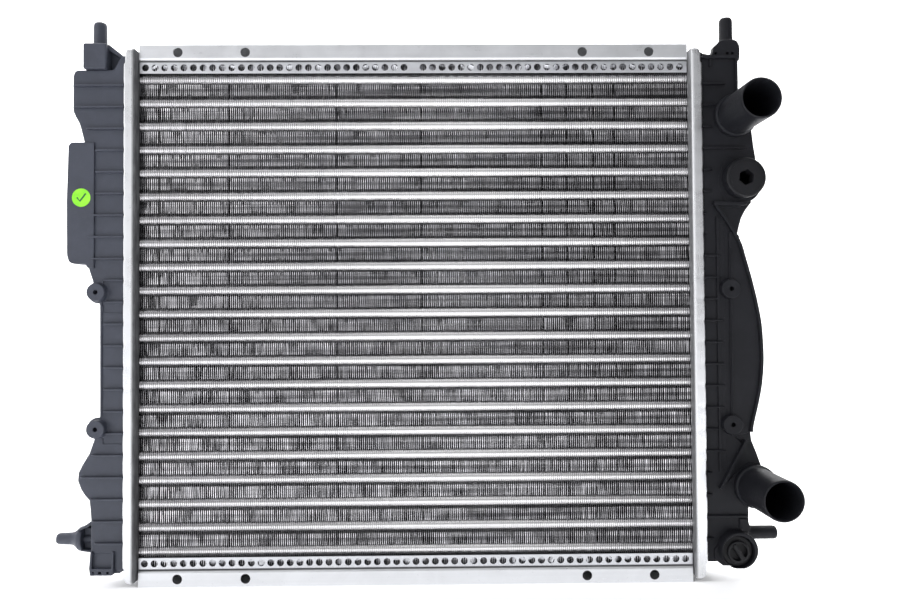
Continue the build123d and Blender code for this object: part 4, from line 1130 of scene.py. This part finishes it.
# ------------------------------------------------------------------ plugs
def build_blanking_plug():
    x, z = PORT
    head = lathe("Y", (x, z), [(0, -17.05), (13.9, -17.05), (14.7, -16.8), (15.15, -16.3), (15.3, -15.6), (15.3, -14.0),
                               (15.0, -13.3), (14.4, -13.05), (10.95, -13.05), (10.95, -2.0), (10.2, -1.0), (0, -1.0)], 72)
    hexagon = [(x + 5.0 / math.cos(math.pi / 6) * math.cos(math.radians(30 + 60 * i - 8)),
                z + 5.0 / math.cos(math.pi / 6) * math.sin(math.radians(30 + 60 * i - 8))) for i in range(6)]
    wide = [(x + 5.5 / math.cos(math.pi / 6) * math.cos(math.radians(30 + 60 * i - 8)),
             z + 5.5 / math.cos(math.pi / 6) * math.sin(math.radians(30 + 60 * i - 8))) for i in range(6)]
    socket = prism(hexagon, -18.0, -9.0, "Y", 0)
    lead = bmesh.new()
    a = [lead.verts.new((u, -17.3, v)) for u, v in wide]
    b = [lead.verts.new((u, -16.3, v)) for u, v in hexagon]
    lead.faces.new(a)
    lead.faces.new(b)
    for i in range(6):
        j = (i + 1) % 6
        lead.faces.new((a[i], a[j], b[j], b[i]))
    bmesh.ops.recalc_face_normals(lead, faces=lead.faces)
    groove = boolean([rod("Y", (x, z), 13.0, -18.0, -16.85, 0, 64)], [rod("Y", (x, z), 12.4, -19.0, -16.0, 0, 64)])
    return boolean([head], [socket, lead, groove, rod("Y", (x, z), 7.6, -9.5, 1.0, 0, 40)])


def build_drain_plug():
    x, z = DRAIN
    head = lathe("Y", (x, z), [(0, -15.3), (7.6, -15.3), (8.1, -15.0), (8.3, -14.4), (8.3, -12.2), (8.7, -11.9), (10.9, -11.9),
                               (11.4, -11.6), (11.5, -11.0), (11.5, -10.4), (11.2, -10.1), (6.93, -10.1), (6.93, 0.2),
                               (6.2, 1.0), (0, 1.0)], 64)
    c45 = math.radians(-58)

    def turned(pts):
        return [(x + u * math.cos(c45) - v * math.sin(c45), z + u * math.sin(c45) + v * math.cos(c45)) for u, v in pts]

    # two crescent recesses either side of the finger bar
    cuts = []
    for sgn in (1, -1):
        arc = []
        for j in range(13):
            a = math.radians(-62 + 124 * j / 12)
            arc.append((6.7 * math.sin(a), sgn * max(2.0, 6.7 * math.cos(a))))
        inner = [(arc[-1][0] - 0.4, sgn * 1.8), (arc[0][0] + 0.4, sgn * 1.8)]
        pts = turned([(u, v) for u, v in arc] + inner)
        cuts.append(prism(pts, -18.0, -11.4, "Y", 0))
    bar = prism(round2d(turned([(-6.9, -1.5), (6.9, -1.5), (6.9, 1.5), (-6.9, 1.5)]), 1.3, 5), -16.6, -12.0, "Y", 0.6, 3)
    return boolean([head, bar], cuts)


plug_o = finish_mesh("blanking_plug_turned", build_blanking_plug(), M["plug"], "blanking_plug",
                     replaces=("blanking_plug",))
drain_o = finish_mesh("drain_plug_turned", build_drain_plug(), M["drain"], "drain_plug",
                      replaces=("drain_plug",))

# ------------------------------------------------------------------ inspection sticker
st = lathe("Y", (-256.4, 90.0), [(0, -6.56), (6.9, -6.56), (7.08, -6.53), (7.1, -6.49), (7.1, -6.41), (0, -6.41)], 64)
finish_mesh("sticker_disc", st, M["sticker"], "radiator", angle=30, replaces=("inspection_sticker",))


def tick(line, w, y0, y1):
    return prism(round2d(ribbon(line, w), 0.3, 2), y0, y1, "Y", 0)


finish_mesh("sticker_tick", tick([(-259.6, 90.2), (-257.4, 87.2), (-252.8, 93.2)], 1.3, -6.585, -6.55), M["ink"], "radiator",
            angle=30, weighted=False)

# ------------------------------------------------------------------ CAD nodes that stay
for node, key in (("left_header_gasket", "rubber"), ("right_header_gasket", "rubber"), ("front_turbulators", "turbulator"),
                  ("rear_turbulators", "turbulator"), ("flow_divider", "divider"), ("divider_seal", "rubber"),
                  ("blanking_plug_oring", "rubber"), ("drain_plug_oring", "rubber")):
    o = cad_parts[node]
    if not o.material_slots:
        o.data.materials.append(M[key])
    for slot_ in o.material_slots:
        slot_.material = M[key]


# ------------------------------------------------------------------ stage, light
def build_stage():
    bm = bmesh.new()
    prof = [(-4.0, 0.0), (0.9, 0.0)]
    for j in range(1, 13):
        a = j / 12 * math.pi / 2
        prof.append((0.9 + 0.6 * math.sin(a), 0.6 * (1 - math.cos(a))))
    prof.append((1.5, 3.5))
    rows = [[bm.verts.new((x, y, z)) for y, z in prof] for x in (-5.0, 5.0)]
    for i in range(len(prof) - 1):
        bm.faces.new((rows[0][i], rows[1][i], rows[1][i + 1], rows[0][i + 1]))
    me = bpy.data.meshes.new("studio_floor")
    bm.to_mesh(me)
    bm.free()
    me.polygons.foreach_set("use_smooth", [True] * len(me.polygons))
    o = bpy.data.objects.new("studio_floor", me)
    scene.collection.objects.link(o)
    n = Nodes("studio_paper")
    g = n.noise((30, 30, 30), 2, 0.5)
    # the floor glows evenly except over the radiator's footprint, where the glow is cut out: a painted shadow under the
    # radiator
    px = n.grey(n.math("ABSOLUTE", n.xyz()[0]), 1.0, 0.0, 0.215, 0.24)
    py = n.grey(n.math("ABSOLUTE", n.math("SUBTRACT", n.xyz()[1], 0.026)), 1.0, 0.0, 0.0115, 0.016)
    lit = n.math("SUBTRACT", 1.0, n.math("MULTIPLY", px, py))
    n.set(color=n.mix(g, (0.93, 0.93, 0.935), (0.95, 0.95, 0.95)), rough=0.8, spec=0.1,
          emission=n.mix(lit, (0, 0, 0), (0.98, 0.985, 1.0)), glow=0.56)
    me.materials.append(n.mat)


build_stage()


def area(name, loc, target, size, size_y, power, colour=(1, 1, 1)):
    d = bpy.data.lights.new(name, "AREA")
    d.shape, d.size, d.size_y, d.energy, d.color = "RECTANGLE", size, size_y, power, colour
    o = bpy.data.objects.new(name, d)
    scene.collection.objects.link(o)
    o.location = loc
    o.rotation_euler = (Vector(target) - Vector(loc)).to_track_quat("-Z", "Y").to_euler()
    return o


area("overhead", (0.0, -0.75, 2.3), (0, -0.5, 0.0), 4.2, 2.4, 15)
area("window", (-2.3, -1.5, 1.1), (0, 0, 0.2), 2.2, 1.8, 14)
area("backdrop_wash", (0.0, 0.55, 2.2), (0, 1.5, 0.6), 3.4, 0.6, 48)

# soft room light: bright low down and ahead, a dim band above eye level, greyer overhead and to the right
world = bpy.data.worlds.new("studio")
scene.world = world
world.use_nodes = True
wn = world.node_tree
bg = wn.nodes["Background"]
tc = wn.nodes.new("ShaderNodeTexCoord")
sep = wn.nodes.new("ShaderNodeSeparateXYZ")
wn.links.new(tc.outputs["Generated"], sep.inputs[0])


def world_ramp(source, lo, hi, stops):
    m = wn.nodes.new("ShaderNodeMapRange")
    m.inputs["From Min"].default_value, m.inputs["From Max"].default_value = lo, hi
    wn.links.new(source, m.inputs["Value"])
    r = wn.nodes.new("ShaderNodeValToRGB")
    el = r.color_ramp.elements
    while len(el) < len(stops):
        el.new(0.5)
    for e, (p, c) in zip(el, stops):
        e.position, e.color = p, (c, c, c * 1.01, 1)
    wn.links.new(m.outputs[0], r.inputs[0])
    return r.outputs[0]


high = world_ramp(sep.outputs["Z"], -1.0, 1.0, [(0.0, 0.90), (0.50, 1.0), (0.60, 1.0), (0.66, 0.60), (0.70, 0.34), (0.735, 0.36),
                                                (0.78, 0.52), (0.90, 0.54), (1.0, 0.56)])
wide = world_ramp(sep.outputs["X"], -1.0, 1.0, [(0.0, 1.0), (0.56, 1.0), (0.62, 0.72), (0.67, 0.50), (0.79, 0.22), (1.0, 0.12)])
mul = wn.nodes.new("ShaderNodeMix")
mul.data_type, mul.blend_type = "RGBA", "MULTIPLY"
mul.inputs[0].default_value = 1.0
wn.links.new(high, mul.inputs[6])
wn.links.new(wide, mul.inputs[7])
wn.links.new(mul.outputs[2], bg.inputs[0])
bg.inputs[1].default_value = 1.0

scene.view_settings.view_transform = "Standard"
scene.view_settings.look = "None"
scene.view_settings.exposure = 0.0
